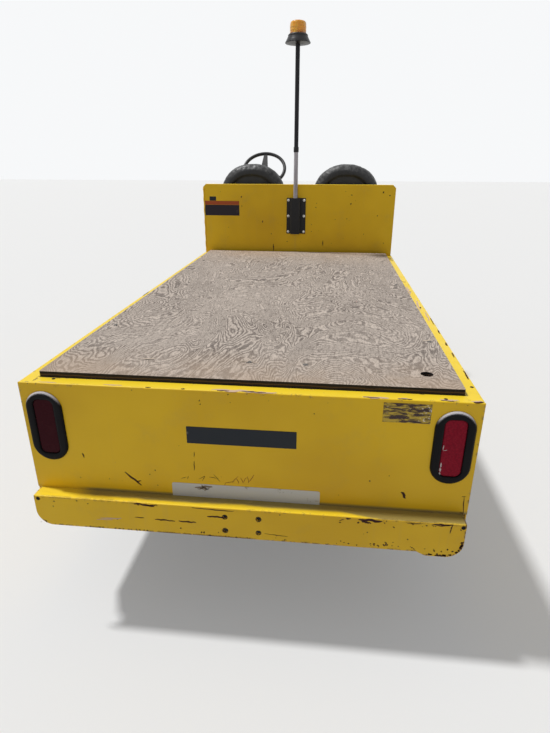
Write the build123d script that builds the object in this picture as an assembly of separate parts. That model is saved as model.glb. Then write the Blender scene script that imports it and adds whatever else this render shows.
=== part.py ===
from build123d import *
import os
from math import cos, sin, radians, sqrt

# Electric utility vehicle: flat deck behind, two seats and a low step floor in front.
# Millimetres. X to the vehicle's right, Y forward, Z up from the ground.
# Stations (names ending in _s) are measured forward from the outer face of the rear panel.

# Overall body
body_width = 1143.0
body_length = 3190.0          # rear panel to cowl front
cab_length = 1142.0           # backboard to cowl front
seat_box_length = 652.0       # backboard to the step
rear_bumper_reach = 42.0
front_bumper_reach = 50.0
deck_height = 728.0           # top of the yellow deck rim
skirt_height = 322.0          # lower edge of the side panels
skirt_corner = 74.0           # cut at the panels' lower rear corners
sheet = 3.0                   # body sheet steel
fold_radius = 2.8             # outside of a fold in it
seat_clearance = 0.3          # between a loose piece and what carries it

# Deck
lip_width = 37.0
board_thickness = 19.0
board_gap = 1.0
board_front_gap = 28.0        # board to backboard
board_corner = 4.0
finger_hole_side = 76.0        # hole centre to the board's side and rear edges
finger_hole_rear = 88.0
finger_hole_radius = 16.0
bearer_height = 25.0
bearer_width = 40.0
bearer_ends = 60.0            # first bearer to the rear panel
bearer_behind_axle = 410.0    # and the others to the rear axle or the backboard
bearer_ahead_axle = 335.0
bearer_at_battery = 730.0
bearer_front_gap = 48.0
post_width = 40.0             # uprights stand on the rails, but beside the battery on outriggers
battery_post_gap = 15.0

# Running gear
tyre_diameter = 465.0
tyre_width = 137.0
wheel_inset = 60.0            # tyre side to body side
rear_axle_s = 830.0
front_overhang = 790.0        # front axle to cowl front
arch_radius = 270.0
arch_centre_z = 300.0
well_sheet = 2.5
well_gap = 6.0                # chassis rail to the well's inner plate
running_fit = 0.05            # radial clearance of a shaft in its bore
moving_gap = 6.0              # clearance between pieces that turn

# Chassis
rail_x = 205.0
rail_width = 50.0
rail_bottom = 340.0
rail_height = 70.0
rail_wall = 4.0
floor_height = 348.0          # top of the step floor plate
floor_skirt = 290.0           # lower edge of the step
floor_bearer_lap = 45.0       # floor bearers run this far back under the rails
rail_reach = 10.0             # floor bearers run this far past the cowl, into the front tube
outrigger_behind_axle = 330.0
outrigger_at_backboard = 12.0
cross_member_behind_axle = 270.0
cross_member_at_step = 100.0
cross_member_width = 50.0
outrigger_height = 40.0
hanger_length = 44.0
hanger_wall = 6.0
front_tube_inset = 31.5
front_tube_height = 80.0
front_tube_radius = 12.0

# Rear panel, bumper and lamps
ledge_height = 416.0
bumper_thickness = 5.0
bumper_bottom = 324.0
bumper_inset = 9.0            # body side to the bumper's end
bumper_corner = 44.0
bumper_ear_length = 92.0
bumper_ear_drop = 11.0
hitch_spacing_x = 88.0
hitch_spacing_z = 43.0
hitch_centre_z = 367.5
hitch_hole_radius = 5.5
lamp_inset = 59.5             # lamp centre to the body's side
lamp_z = 606.0
lamp_width = 55.0
lamp_height = 158.0
grommet_rim = 20.5            # rubber rim outside the lens
grommet_lip = 6.0             # rim outside its hole in the panel
grommet_proud = 7.0
grommet_depth = 26.0
grommet_bevel = 4.0
lens_recess = 3.0
lens_seat = 6.0
lens_corner = 17.0
lens_bevel = 2.5

# Stake pockets in the side panels
pocket_width = 24.0
pocket_height = 88.0
pocket_behind_axle = 140.0
pocket_behind_board = 348.0
rear_pocket_z = 614.0
front_pocket_z = 606.0

# Cab
backboard_height = 1129.0
backboard_chamfer = 18.0
board_foot = 600.0
wing_length = 380.0
wing_top = 30.0
wing_nose = 35.0
top_return = 25.0
seat_deck_height = 690.0
panel_front_height = 640.0
panel_nose_length = 60.0
panel_nose_height = 40.0
cowl_height = 1065.0
cowl_depth = 90.0
cowl_top_return = 37.0
cowl_cheek_taper = 20.0
dash_top_z = 1045.0
dash_depth = 225.0            # cowl front to the foot of the sloping face
dash_end_depth = 90.0
dash_face_z = 935.0
dash_bottom_z = 865.0
dash_bevel = 141.5            # body side to the face's ends
grab_side = 30.0              # bar to the face's end
grab_length = 210.0
grab_foot = 70.0
grab_reach = 75.0
grab_bend = 35.0
grab_radius = 12.0

# Seats
seat_x = 283.0
cushion_width = 450.0
cushion_back_gap = 102.0      # backboard to cushion
cushion_depth = 470.0
cushion_thickness = 100.0
cushion_bottom = 745.0
cushion_corner = 60.0
cushion_bevel = 22.0
riser_x = 150.0
riser_width = 40.0
riser_inset = 60.0
back_width = 410.0
back_top = 1243.0
back_bottom = 870.0
back_thickness = 85.0
back_face_gap = 77.0          # backboard to seat back
back_rim = 62.0
back_recess = 22.0
back_bevel = 18.0
back_arch = 0.45              # corner radii as shares of the width
back_foot_arch = 0.12
bracket_x = 175.0
bracket_width = 40.0
bracket_thickness = 6.0
bracket_reach = 120.0
door_side = 60.0

# Headlights
headlight_inset = 141.5
headlight_z = 775.0
headlight_radius = 80.0
headlight_depth = 85.0
headlight_rim = 8.0
headlight_dome = 14.0

# Foot controls: pads by distance from the column, width and height; lever beside the seats
pedals = [(67.0, 70.0, 110.0), (157.0, 55.0, 130.0)]
pedal_back = 190.0            # cowl front to the pads
pedal_tilt = 50.0
pedal_length = 90.0
pedal_thickness = 10.0
pedal_lean = 30.0
pedal_foot = 19.0
lever_x = -10.0
lever_ahead = 40.0
lever_foot = 40.0
lever_height = 330.0
lever_radius = 8.0
grip_length = 110.0

# Beacon mast on the backboard
mast_x = -12.0
mast_radius = 12.0
mast_length = 978.0
mast_bracket_x = -7.5
mast_bracket_width = 113.0
mast_bracket_bottom = 848.0
mast_bracket_height = 205.0
mast_hump = 56.0
mast_rest = 12.0              # the mast stands this far above its bracket's foot
mast_socket = 8.0             # and reaches this far into the beacon's base
beacon_flange_radius = 67.0
beacon_flange_edge = 5.0
beacon_collar_radius = 52.0
beacon_lens_radius = 44.5
beacon_base_height = 47.0
beacon_lens_height = 61.0

# Steering
steering_x = -267.0
steering_wheel_reach = 365.0                    # wheel centre to the dash face's foot
steering_wheel_z = 1207.0
steering_wheel_radius = 151.0
steering_grip_radius = 11.0
column_angle = 45.0
column_radius = 22.0
column_shaft_radius = 9.0
column_top = 70.0                               # wheel centre to the column's top
knee_gap = 35.0                                 # knee to the dash face's foot
steering_box_back = 235.0                       # cowl front to the steering gearbox
gearbox_bottom = 245.0
gearbox_length = 90.0
kingpin_inset = 98.0                            # kingpin to the wheel's middle
kingpin_radius = 10.0
boss_radius = 24.0
boss_height = 71.0
ear_thickness = 16.0
ear_radius = 26.0
arm_thickness = 12.0
arm_width = 30.0
tie_arm = 120.0
drag_arm = 130.0
ball_radius = 14.0
ball_height = 20.0
stud_radius = 6.0
link_radius = 9.0
pitman_shaft_radius = 12.0
pitman_shaft_top = 300.0
shaft_length = 90.0                             # wheel's shaft inside the column
column_mount = 28.0
column_collar = 8.0
horn_radius = 34.0
horn_height = 30.0
horn_sink = 3.0                                 # below the rim's plane
spoke_root_width = 44.0
spoke_root_thickness = 8.0
spoke_tip_width = 22.0
spoke_tip_thickness = 7.0
hub_neck = 24.0

# Wheels
rim_half_width = 50.0
rim_flange_radius = 114.0
rim_flange_lean = 4.0
shoulder_width = 13.0
bead_radius = 101.5
rim_metal = 3.5
rim_dish = 10.0
hub_radius = 32.0
hub_half_length = 35.0
spindle_radius = 15.0
spindle_shoulder = 20.0

# Springs
leaf_width = 45.0
leaf_thickness = 7.0
leaf_rise = 14.0
clamp_length = 90.0
clamp_side = 12.0
eye_radius = 14.0
eye_pin_radius = 6.0
rear_spring_half = 300.0
front_spring_half = 225.0
leaf_shares = [1.0, 0.8, 0.58, 0.36]            # half length of each leaf, from the top

# Axles, motor and battery
axle_tube_radius = 40.0
axle_tube_inset = 78.0        # tube's end to the wheel's middle
brake_radius = 74.0
gearcase_radius = 92.0
motor_radius = 82.0
motor_length = 250.0
motor_bevel = 14.0
gearcase_width = 110.0
brake_width = 14.0
beam_width = 40.0
beam_height = 40.0
battery_width = 530.0
battery_height = 276.0
battery_rear_gap = 370.0      # battery to the rear axle
battery_front_gap = 476.0     # and to the front axle

# Places that follow from these sizes
half_width = body_width / 2
inside_x = half_width - sheet
backboard_s = body_length - cab_length
floor_s = backboard_s + seat_box_length
front_axle_s = body_length - front_overhang
board_front_s = backboard_s - board_front_gap
cushion_back_s = backboard_s + cushion_back_gap
back_face_s = backboard_s + back_face_gap
battery_start_s = rear_axle_s + battery_rear_gap
battery_length = front_axle_s - battery_front_gap - battery_start_s
bearer_front_s = backboard_s - bearer_front_gap
battery_bearers = [rear_axle_s + bearer_ahead_axle, rear_axle_s + bearer_at_battery]
bearer_stations = [bearer_ends, rear_axle_s - bearer_behind_axle, rear_axle_s, *battery_bearers,
                   bearer_front_s]
outrigger_stations = [bearer_ends, rear_axle_s - outrigger_behind_axle, *battery_bearers,
                      backboard_s + outrigger_at_backboard]
cross_member_stations = [bearer_ends, rear_axle_s - cross_member_behind_axle, battery_bearers[0],
                         bearer_front_s, floor_s - cross_member_at_step]
pockets = [(rear_axle_s - pocket_behind_axle, rear_pocket_z),
           (backboard_s - pocket_behind_board, front_pocket_z)]
spring_seats = [(rear_axle_s, rear_spring_half), (front_axle_s, front_spring_half)]      # centre, half length
lamp_x = half_width - lamp_inset
headlight_x = half_width - headlight_inset
dash_face_x = half_width - dash_bevel
dash_face_s = body_length - dash_depth
dash_end_s = body_length - dash_end_depth
steering_box_s = body_length - steering_box_back
steering_wheel_s = dash_face_s - steering_wheel_reach
panel_front_s = floor_s - panel_nose_length
mast_bottom = mast_bracket_bottom + mast_rest
mast_top = mast_bottom + mast_length
beacon_base_bottom = mast_top - mast_socket
beacon_base_top = beacon_base_bottom + beacon_base_height
beacon_top = beacon_base_top + beacon_lens_height
overall_length = rear_bumper_reach + body_length + front_bumper_reach
rear_y = rear_bumper_reach - overall_length / 2
axle_z = tyre_diameter / 2
wheel_x = half_width - wheel_inset - tyre_width / 2
kingpin_x = wheel_x - kingpin_inset
axle_tube_end = wheel_x - axle_tube_inset
rail_top = rail_bottom + rail_height
rail_inner = rail_x - rail_width / 2
rail_outer = rail_x + rail_width / 2
rim_inner_x = half_width - lip_width
well_inner_x = rail_outer + well_gap
bearer_top = deck_height - sheet
beam_top = axle_z + beam_height / 2
spring_bottom = axle_z + axle_tube_radius
stack_top = spring_bottom + leaf_thickness * len(leaf_shares)
eye_z = stack_top - leaf_thickness + leaf_rise + eye_radius
boss_bottom = axle_z - boss_height / 2
boss_top = axle_z + boss_height / 2
ear_low = boss_bottom - moving_gap - ear_thickness
ear_high = boss_top + moving_gap
link_z = ear_low - moving_gap + 1 - ball_height / 2
column_dir = Vector(0, cos(radians(column_angle)), -sin(radians(column_angle)))
column_knee = (dash_face_s - knee_gap - steering_wheel_s) / cos(radians(column_angle))

made = {}


def at(station):
    return rear_y + station


def block(x0, x1, s0, s1, z0, z1):
    return Pos((x0 + x1) / 2, at((s0 + s1) / 2), (z0 + z1) / 2) * Box(x1 - x0, s1 - s0, z1 - z0)


def post(x, s, z0, z1, radius):
    return Pos(x, at(s), (z0 + z1) / 2) * Cylinder(radius, z1 - z0)


def rod(start, end, radius):
    run = Vector(*end) - Vector(*start)
    return Plane(origin=start, z_dir=run) * Cylinder(
        radius, run.length, align=(Align.CENTER, Align.CENTER, Align.MIN))


def cross_shaft(x0, x1, s, z, radius):
    return rod((x0, at(s), z), (x1, at(s), z), radius)


# A flat sheet standing across the vehicle, drawn in X and Z, from station s0 to s1.
def across(face, s0, s1):
    return extrude(Plane.XZ.offset(-at(s1)) * face, s1 - s0)


# A flat sheet standing along the vehicle, drawn in Y and Z, from x0 to x1.
def along(face, x0, x1):
    return extrude(Plane.YZ.offset(x0) * face, x1 - x0)


def outline(points):
    return make_face(Polyline(*points, close=True))


def oval(width, height):
    return Rot(0, 0, 90) * SlotOverall(height, width)


def both_sides(solid):
    return [solid, mirror(solid, about=Plane.YZ)]


def keep(name, *solids):
    for number, solid in enumerate(solids):
        solid.label = f"{name}_{number}"
    made[name] = solids[0] if len(solids) == 1 else Compound(children=list(solids))


# Two box rails, each with its floor bearer in front and the spring hangers below
def chassis_rails():
    front = body_length + rail_reach
    rail = block(rail_inner, rail_outer, -rear_bumper_reach + bumper_thickness, floor_s, rail_bottom, rail_top)
    rail -= block(rail_inner + rail_wall, rail_outer - rail_wall, -rear_bumper_reach, floor_s + 1,
                  rail_bottom + rail_wall, rail_top - rail_wall)
    rail += block(rail_inner, rail_outer, floor_s - floor_bearer_lap, front, floor_skirt, rail_bottom)
    rail += block(rail_inner, rail_outer, floor_s + sheet, front, rail_bottom, floor_height - sheet)
    slot = leaf_width / 2 + seat_clearance
    cheek = slot + hanger_wall
    low = eye_z - eye_radius
    for centre, half in spring_seats:
        for end in (centre - half, centre + half):
            start = end - hanger_length / 2
            stop = end + hanger_length / 2
            hanger = block(rail_x - cheek, rail_x + cheek, start, stop, low, rail_bottom)
            hanger -= block(rail_x - slot, rail_x + slot, start - 1, stop + 1, low - 1, rail_bottom - 1)
            rail += hanger + cross_shaft(rail_x - slot, rail_x + slot, end, eye_z, eye_pin_radius)
    keep("chassis_rails", *both_sides(rail))


# What crosses the rails: channels between them, outriggers, deck uprights and the front tube
def cross_members():
    pieces = []
    for station in cross_member_stations:
        start = station - cross_member_width / 2
        stop = station + cross_member_width / 2
        member = block(-rail_inner, rail_inner, start, stop, rail_bottom, rail_top)
        pieces.append(member - block(-rail_inner - 1, rail_inner + 1, start + rail_wall, stop - rail_wall,
                                     rail_bottom - 1, rail_top - rail_wall))
    half = bearer_width / 2
    for station in outrigger_stations:
        pieces += both_sides(block(rail_outer, inside_x, station - half, station + half,
                                   rail_top - outrigger_height, rail_top))
    for station in bearer_stations:
        x = battery_width / 2 + battery_post_gap if beside_battery(station) else rail_x - post_width / 2
        pieces += both_sides(block(x, x + post_width, station - half, station + half,
                                   rail_top + seat_clearance, bearer_top - bearer_height))
    front = body_length + front_bumper_reach
    end = half_width - front_tube_inset
    tube = block(-end, end, front - bearer_width, front, floor_skirt - rail_reach,
                 floor_skirt - rail_reach + front_tube_height)
    pieces.append(fillet(tube.edges().filter_by(Axis.Z), front_tube_radius))
    keep("cross_members", *pieces)


def beside_battery(station):
    return battery_start_s < station < battery_start_s + battery_length


def deck_bearers():
    keep("deck_bearers", *[
        block(-inside_x, inside_x, station - bearer_width / 2, station + bearer_width / 2,
              bearer_top - bearer_height, bearer_top) for station in bearer_stations])


# Side panel with a rolled top lip, two round arches and two stake pockets
def body_sides():
    ahead = backboard_s + sheet
    face = outline([
        (at(sheet + skirt_corner), skirt_height), (at(floor_s), skirt_height),
        (at(floor_s), skirt_height + panel_nose_height), (at(panel_front_s), panel_front_height),
        (at(ahead), seat_deck_height), (at(ahead), deck_height), (at(sheet), deck_height),
        (at(sheet), skirt_height + skirt_corner)])
    for station in (rear_axle_s, front_axle_s):
        face -= Pos(at(station), arch_centre_z) * Circle(arch_radius)
    for station, height in pockets:
        face -= Pos(at(station), height) * oval(pocket_width, pocket_height)
    side = along(face, inside_x, half_width)
    side += block(rim_inner_x, inside_x, sheet, backboard_s, bearer_top, deck_height)
    folds = side.edges().filter_by(Axis.Y).filter_by(lambda edge: edge.center().Z > deck_height - 0.1)
    right, left = both_sides(fillet(folds.sort_by(Axis.X)[-1], fold_radius))
    keep("body_side_right", right)
    keep("body_side_left", left)


def rear_panel():
    hole = (lamp_width + 2 * (grommet_rim - grommet_lip), lamp_height + 2 * (grommet_rim - grommet_lip))
    face = outline([(-half_width, ledge_height), (half_width, ledge_height),
                    (half_width, deck_height), (-half_width, deck_height)])
    for side in (-1, 1):
        face -= Pos(side * lamp_x, lamp_z) * oval(*hole)
    panel = across(face, 0, sheet)
    panel += block(-rim_inner_x, rim_inner_x, sheet, lip_width, bearer_top, deck_height)
    top = panel.edges().filter_by(Axis.X).group_by(Axis.Z)[-1].sort_by(Axis.Y)[0]
    keep("rear_panel", fillet(top, fold_radius))


# The bumper's right end hangs lower, as an ear, and both lower corners are round
def rear_bumper():
    end = half_width - bumper_inset
    ear = end - bumper_ear_length
    low = bumper_bottom - bumper_ear_drop
    face = outline([(-end, bumper_bottom), (ear - bumper_ear_drop * 2, bumper_bottom), (ear, low),
                    (end, low), (end, ledge_height), (-end, ledge_height)])
    corners = face.vertices().filter_by(lambda corner: corner.Y < bumper_bottom + 1).sort_by(Axis.X)
    face = fillet(corners[-1], bumper_corner)
    corners = face.vertices().filter_by(lambda corner: corner.Y < bumper_bottom + 1).sort_by(Axis.X)
    face = fillet(corners[0], bumper_corner)
    for side in (-1, 1):
        for level in (-1, 1):
            face -= Pos(side * hitch_spacing_x / 2, hitch_centre_z + level * hitch_spacing_z / 2) * Circle(
                hitch_hole_radius)
    front = -rear_bumper_reach + bumper_thickness
    bumper = across(face, -rear_bumper_reach, front)
    bumper += block(-end, end, front, sheet, ledge_height - bumper_thickness, ledge_height)
    fold = bumper.edges().filter_by(Axis.X).group_by(Axis.Z)[-1].sort_by(Axis.Y)[0]
    keep("rear_bumper", fillet(fold, fold_radius))


def tail_lamps():
    rims = []
    lenses = []
    for side in (-1, 1):
        place = Pos(side * lamp_x, lamp_z)
        wide = lamp_width + 2 * grommet_rim
        tall = lamp_height + 2 * grommet_rim
        rim = across(place * oval(wide, tall), -grommet_proud, 0)
        rim = chamfer(rim.faces().sort_by(Axis.Y)[0].edges(), grommet_bevel)
        inset = 2 * grommet_lip
        rim += across(place * oval(wide - inset, tall - inset), 0, grommet_depth)
        window = place * RectangleRounded(lamp_width, lamp_height, lens_corner)
        rim -= across(window, -grommet_proud - 1, grommet_depth - lens_seat)
        rims.append(rim)
        seat = grommet_depth - lens_seat
        lens = across(window, lens_recess - grommet_proud, seat)
        lenses.append(chamfer(lens.faces().sort_by(Axis.Y)[0].edges(), lens_bevel))
    keep("tail_lamp_grommets", *rims)
    keep("tail_lamp_lenses", *lenses)


def deck_board():
    start = lip_width + board_gap
    half = rim_inner_x - board_gap
    board = block(-half, half, start, board_front_s, bearer_top, bearer_top + board_thickness)
    board = fillet(board.edges().filter_by(Axis.Z), board_corner)
    hole = extrude(Circle(finger_hole_radius), board_thickness)
    keep("deck_board", board - Pos(half - finger_hole_side, at(start + finger_hole_rear), bearer_top) * hole)


# Wheel wells, open below and to the outside: an arched sheet and the plate that closes its inner end
def wheel_wells():
    wells = []
    plate_x = well_inner_x + well_sheet
    for station in (rear_axle_s, front_axle_s):
        centre = Pos(at(station), arch_centre_z)
        below = Pos(at(station), skirt_height - arch_radius) * Rectangle(2 * arch_radius + 2, 2 * arch_radius)
        disc = centre * Circle(arch_radius) - below
        arch = along(disc - centre * Circle(arch_radius - well_sheet), plate_x + seat_clearance, inside_x)
        wells += both_sides(arch) + both_sides(along(disc, well_inner_x, plate_x))
    keep("wheel_wells", *wells)


# Backboard: one folded sheet with a top return and a sloping wing each side of the seats
def backboard():
    width = inside_x
    shoulder = backboard_height - backboard_chamfer
    crown = width - backboard_chamfer
    face = outline([(-width, board_foot), (width, board_foot), (width, shoulder), (crown, backboard_height),
                    (-crown, backboard_height), (-width, shoulder)])
    board = across(face, backboard_s, backboard_s + sheet)
    fold = backboard_s + sheet
    wing = outline([(at(fold), seat_deck_height), (at(fold + wing_length), seat_deck_height),
                    (at(fold + wing_length), seat_deck_height + wing_nose), (at(fold + wing_top), shoulder),
                    (at(fold), shoulder)])
    for solid in both_sides(along(wing, width - sheet, width)):
        board += solid
    board += block(-crown, crown, fold, fold + top_return, backboard_height - sheet, backboard_height)
    folds = board.edges().filter_by(Axis.X).group_by(Axis.Z)[-1].sort_by(Axis.Y)[0]
    folds = ShapeList([folds]) + board.edges().filter_by(Axis.Z).filter_by(
        lambda edge: edge.center().Y < at(backboard_s) + 0.1 and edge.length > backboard_chamfer)
    keep("backboard", fillet(folds, fold_radius))


# Seat box: deck and front of folded sheet, with risers under the cushions and posts behind the backs
def seat_box():
    start = backboard_s + sheet
    under = seat_deck_height - sheet
    deck = block(-inside_x, inside_x, start, floor_s, under, seat_deck_height)
    box = deck + block(-inside_x, inside_x, floor_s - sheet, floor_s, rail_top, seat_deck_height)
    box = fillet(box.edges().filter_by(Axis.X).group_by(Axis.Z)[-1].sort_by(Axis.Y)[-1], fold_radius)
    door = block(-rail_outer - door_side, rail_outer + door_side, floor_s, floor_s + sheet, floor_height,
                 seat_deck_height - 2 * fold_radius)
    box += door
    post_s = back_face_s - bracket_thickness - seat_clearance
    for side in (-1, 1):
        for end in (-1, 1):
            x = side * seat_x + end * riser_x
            box += block(x - riser_width / 2, x + riser_width / 2, cushion_back_s + riser_inset,
                         cushion_back_s + cushion_depth - riser_inset, seat_deck_height,
                         cushion_bottom - seat_clearance)
            x = side * seat_x + end * bracket_x
            box += block(x - bracket_width / 2, x + bracket_width / 2, post_s, post_s + bracket_thickness,
                         seat_deck_height, back_bottom + bracket_reach)
    keep("seat_box", box)


# Each back has a thick rim all round and a panel set back inside it, seen from behind
def seats():
    cushions = []
    backs = []
    for side in (-1, 1):
        x = side * seat_x
        half = cushion_width / 2
        cushion = block(x - half, x + half, cushion_back_s, cushion_back_s + cushion_depth, cushion_bottom,
                        cushion_bottom + cushion_thickness)
        cushion = fillet(cushion.edges().filter_by(Axis.Z), cushion_corner)
        cushions.append(chamfer(cushion.faces().sort_by(Axis.Z)[-1].edges(), cushion_bevel))
        back = across(Pos(x, 0) * back_outline(back_width, back_top, back_bottom), back_face_s,
                      back_face_s + back_thickness)
        back = chamfer(back.faces().sort_by(Axis.Y)[0].edges(), back_bevel)
        panel = back_outline(back_width - 2 * back_rim, back_top - back_rim, back_bottom + back_rim)
        back -= across(Pos(x, 0) * panel, back_face_s - 1, back_face_s + back_recess)
        backs.append(back)
    keep("seat_cushions", *cushions)
    keep("seat_backs", *backs)


# Arched top and small round lower corners
def back_outline(width, top, bottom):
    face = outline([(-width / 2, bottom), (width / 2, bottom), (width / 2, top), (-width / 2, top)])
    face = fillet(face.vertices().group_by(Axis.Y)[-1], width * back_arch)
    return fillet(face.vertices().group_by(Axis.Y)[0], width * back_foot_arch)


def step_floor():
    start = floor_s + sheet
    under = floor_height - sheet
    floor = block(-half_width, half_width, start, body_length - sheet, under, floor_height)
    for solid in both_sides(block(inside_x, half_width, start, body_length, floor_skirt, under)):
        floor += solid
    keep("step_floor", floor)


# Cowl: a flat front sheet with a cheek folded back at each side and a return along the top
def front_cowl():
    inner = body_length - sheet
    face = outline([(-half_width, floor_height), (half_width, floor_height), (half_width, cowl_height),
                    (-half_width, cowl_height)])
    for side in (-1, 1):
        face -= Pos(side * headlight_x, headlight_z) * Circle(headlight_radius)
    cowl = across(face, inner, body_length)
    cheek = outline([
        (at(body_length - cowl_depth + cowl_cheek_taper), floor_height), (at(inner), floor_height),
        (at(inner), cowl_height), (at(body_length - cowl_depth), cowl_height)])
    for solid in both_sides(along(cheek, inside_x, half_width)):
        cowl += solid
    cowl += block(-inside_x, inside_x, inner - cowl_top_return, inner, cowl_height - sheet, cowl_height)
    folds = cowl.edges().filter_by(lambda edge: edge.center().Y > at(body_length) - 0.1)
    folds = folds.filter_by(Axis.Z) + folds.filter_by(Axis.X).group_by(Axis.Z)[-1]
    keep("front_cowl", fillet(folds, fold_radius))


# Dash: a folded tray with a sloping face, a lip below and bevelled ends, open underneath
def dash_solid(inset):
    back = body_length - sheet - inset
    side = inside_x - inset
    corner = dash_face_x - inset / 2
    plan = outline([
        (-side, at(back)), (-side, at(dash_end_s + inset)), (-corner, at(dash_face_s + inset)),
        (corner, at(dash_face_s + inset)), (side, at(dash_end_s + inset)), (side, at(back))])
    solid = extrude(Pos(0, 0, dash_bottom_z - inset) * plan, dash_top_z - dash_bottom_z + inset)
    above = outline([(at(dash_face_s), dash_face_z - inset), (at(body_length), dash_top_z - inset),
                     (at(body_length), cowl_height), (at(dash_face_s), cowl_height)])
    return solid - along(above, -half_width, half_width)


def dash_panel():
    keep("dash_panel", dash_solid(0) - dash_solid(sheet))


# Passenger's grab bar: a bent tube with both feet square on the dash face
def grab_bar():
    rise = dash_top_z - dash_face_z
    run = body_length - dash_face_s
    length = sqrt(rise * rise + run * run)
    normal = Vector(0, -rise / length, run / length)
    foot = Vector(0, at(dash_face_s) + grab_foot, dash_face_z + grab_foot * rise / run)
    foot += normal * seat_clearance
    high = Vector(dash_face_x - grab_side, 0, 0)
    low = high - Vector(grab_length, 0, 0)
    path = FilletPolyline(foot + low, foot + normal * grab_reach + low, foot + normal * grab_reach + high,
                          foot + high, radius=grab_bend)
    start = Plane(origin=path @ 0, x_dir=(1, 0, 0), z_dir=path % 0)
    keep("grab_bar", sweep(start * RegularPolygon(grab_radius, 8), path))


def headlights():
    profile = outline([
        (0, headlight_dome), (headlight_radius, headlight_dome / 2), (headlight_radius + headlight_rim, 3),
        (headlight_radius + headlight_rim, 0), (headlight_radius - 0.5, 0),
        (headlight_radius - 0.5, -headlight_depth * 0.55), (headlight_radius * 0.55, -headlight_depth),
        (0, -headlight_depth)])
    can = revolve(profile, Axis.Y, 360)
    keep("headlights", *[Pos(side * headlight_x, at(body_length), headlight_z) * can for side in (-1, 1)])


# Column: down from the wheel, a knee under the dash, then to the gearbox below the floor
def steering_column():
    centre = Vector(steering_x, at(steering_wheel_s), steering_wheel_z)
    top = centre + column_dir * column_top
    knee = centre + column_dir * column_knee
    foot = Vector(steering_x, at(steering_box_s), floor_height)
    column = rod(tuple(top), tuple(knee), column_radius)
    bore = column_shaft_radius + running_fit
    column -= rod(tuple(top - column_dir), tuple(top + column_dir * shaft_length), bore)
    column += rod(tuple(foot), tuple(knee), column_radius) + Pos(*knee) * Sphere(column_radius + 1)
    column += block(steering_x - column_mount, steering_x + column_mount, dash_face_s - column_mount,
                    dash_face_s, dash_bottom_z + sheet, dash_face_z - sheet)
    column += post(steering_x, steering_box_s, floor_height, floor_height + column_collar, column_radius * 1.5)
    column -= post(steering_x, steering_box_s, gearbox_bottom, floor_height, column_radius * 3)
    half = abs(steering_x) - rail_outer
    gearbox = block(steering_x - half, steering_x + half, steering_box_s - gearbox_length / 2,
                    steering_box_s + gearbox_length / 2, gearbox_bottom, floor_height - sheet)
    gearbox -= post(steering_x, steering_box_s, gearbox_bottom - 1, pitman_shaft_top + moving_gap,
                    pitman_shaft_radius + running_fit)
    keep("steering_column", column, gearbox)


def steering_wheel():
    centre = Vector(steering_x, at(steering_wheel_s), steering_wheel_z)
    ring_radius = steering_wheel_radius - steering_grip_radius
    section = Plane.XZ * Pos(ring_radius, 0) * Rot(0, 0, 22.5) * RegularPolygon(steering_grip_radius, 8)
    wheel = revolve(section, Axis.Z, 360)
    horn_low = -horn_sink - horn_height
    wheel += Pos(0, 0, -horn_sink - horn_height / 2) * Cylinder(horn_radius, horn_height)
    wheel += Pos(0, 0, horn_low - hub_neck / 2) * Cylinder(column_shaft_radius * 1.8, hub_neck)
    shaft_end = column_top + shaft_length - moving_gap
    wheel += Pos(0, 0, (horn_low - shaft_end) / 2) * Cylinder(column_shaft_radius, shaft_end + horn_low)
    for turn in (90, 215, 325):
        spoke = loft([
            Plane(origin=(horn_radius * 0.75, 0, 0), x_dir=(0, 1, 0), z_dir=(1, 0, 0)) * Rectangle(
                spoke_root_width, spoke_root_thickness),
            Plane(origin=(ring_radius, 0, 0), x_dir=(0, 1, 0), z_dir=(1, 0, 0)) * Rectangle(
                spoke_tip_width, spoke_tip_thickness)])
        wheel += Rot(0, 0, turn) * spoke
    keep("steering_wheel", Plane(origin=centre, x_dir=(1, 0, 0), z_dir=-column_dir) * wheel)


# Brake and accelerator pads on their arms, and the parking brake lever
def foot_controls():
    pieces = []
    heel_s = body_length - pedal_back
    for aside, width, rise in pedals:
        x = steering_x + aside
        pad_z = floor_height + rise
        pad = Pos(x, at(heel_s), pad_z) * Rot(pedal_tilt, 0, 0) * Box(width, pedal_length, pedal_thickness)
        hinge_s = heel_s + pedal_lean
        arm = rod((x, at(hinge_s), floor_height + pedal_thickness), (x, at(heel_s), pad_z), lever_radius)
        foot = block(x - pedal_foot, x + pedal_foot, hinge_s - pedal_foot, hinge_s + pedal_foot, floor_height,
                     floor_height + pedal_thickness)
        pieces.append(pad + arm + foot)
    low_s = floor_s + lever_ahead
    lever = block(lever_x - lever_foot / 2, lever_x + lever_foot / 2, low_s, low_s + 1.5 * lever_foot,
                  floor_height, floor_height + lever_foot)
    low = (lever_x, at(low_s + lever_foot), floor_height + lever_foot / 2)
    middle = (lever_x, at(low_s), floor_height + lever_height)
    high = (lever_x, at(low_s - lever_radius), floor_height + lever_height + grip_length)
    lever += rod(low, middle, lever_radius) + rod(middle, high, 1.9 * lever_radius)
    pieces.append(lever)
    keep("foot_controls", *pieces)


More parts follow.
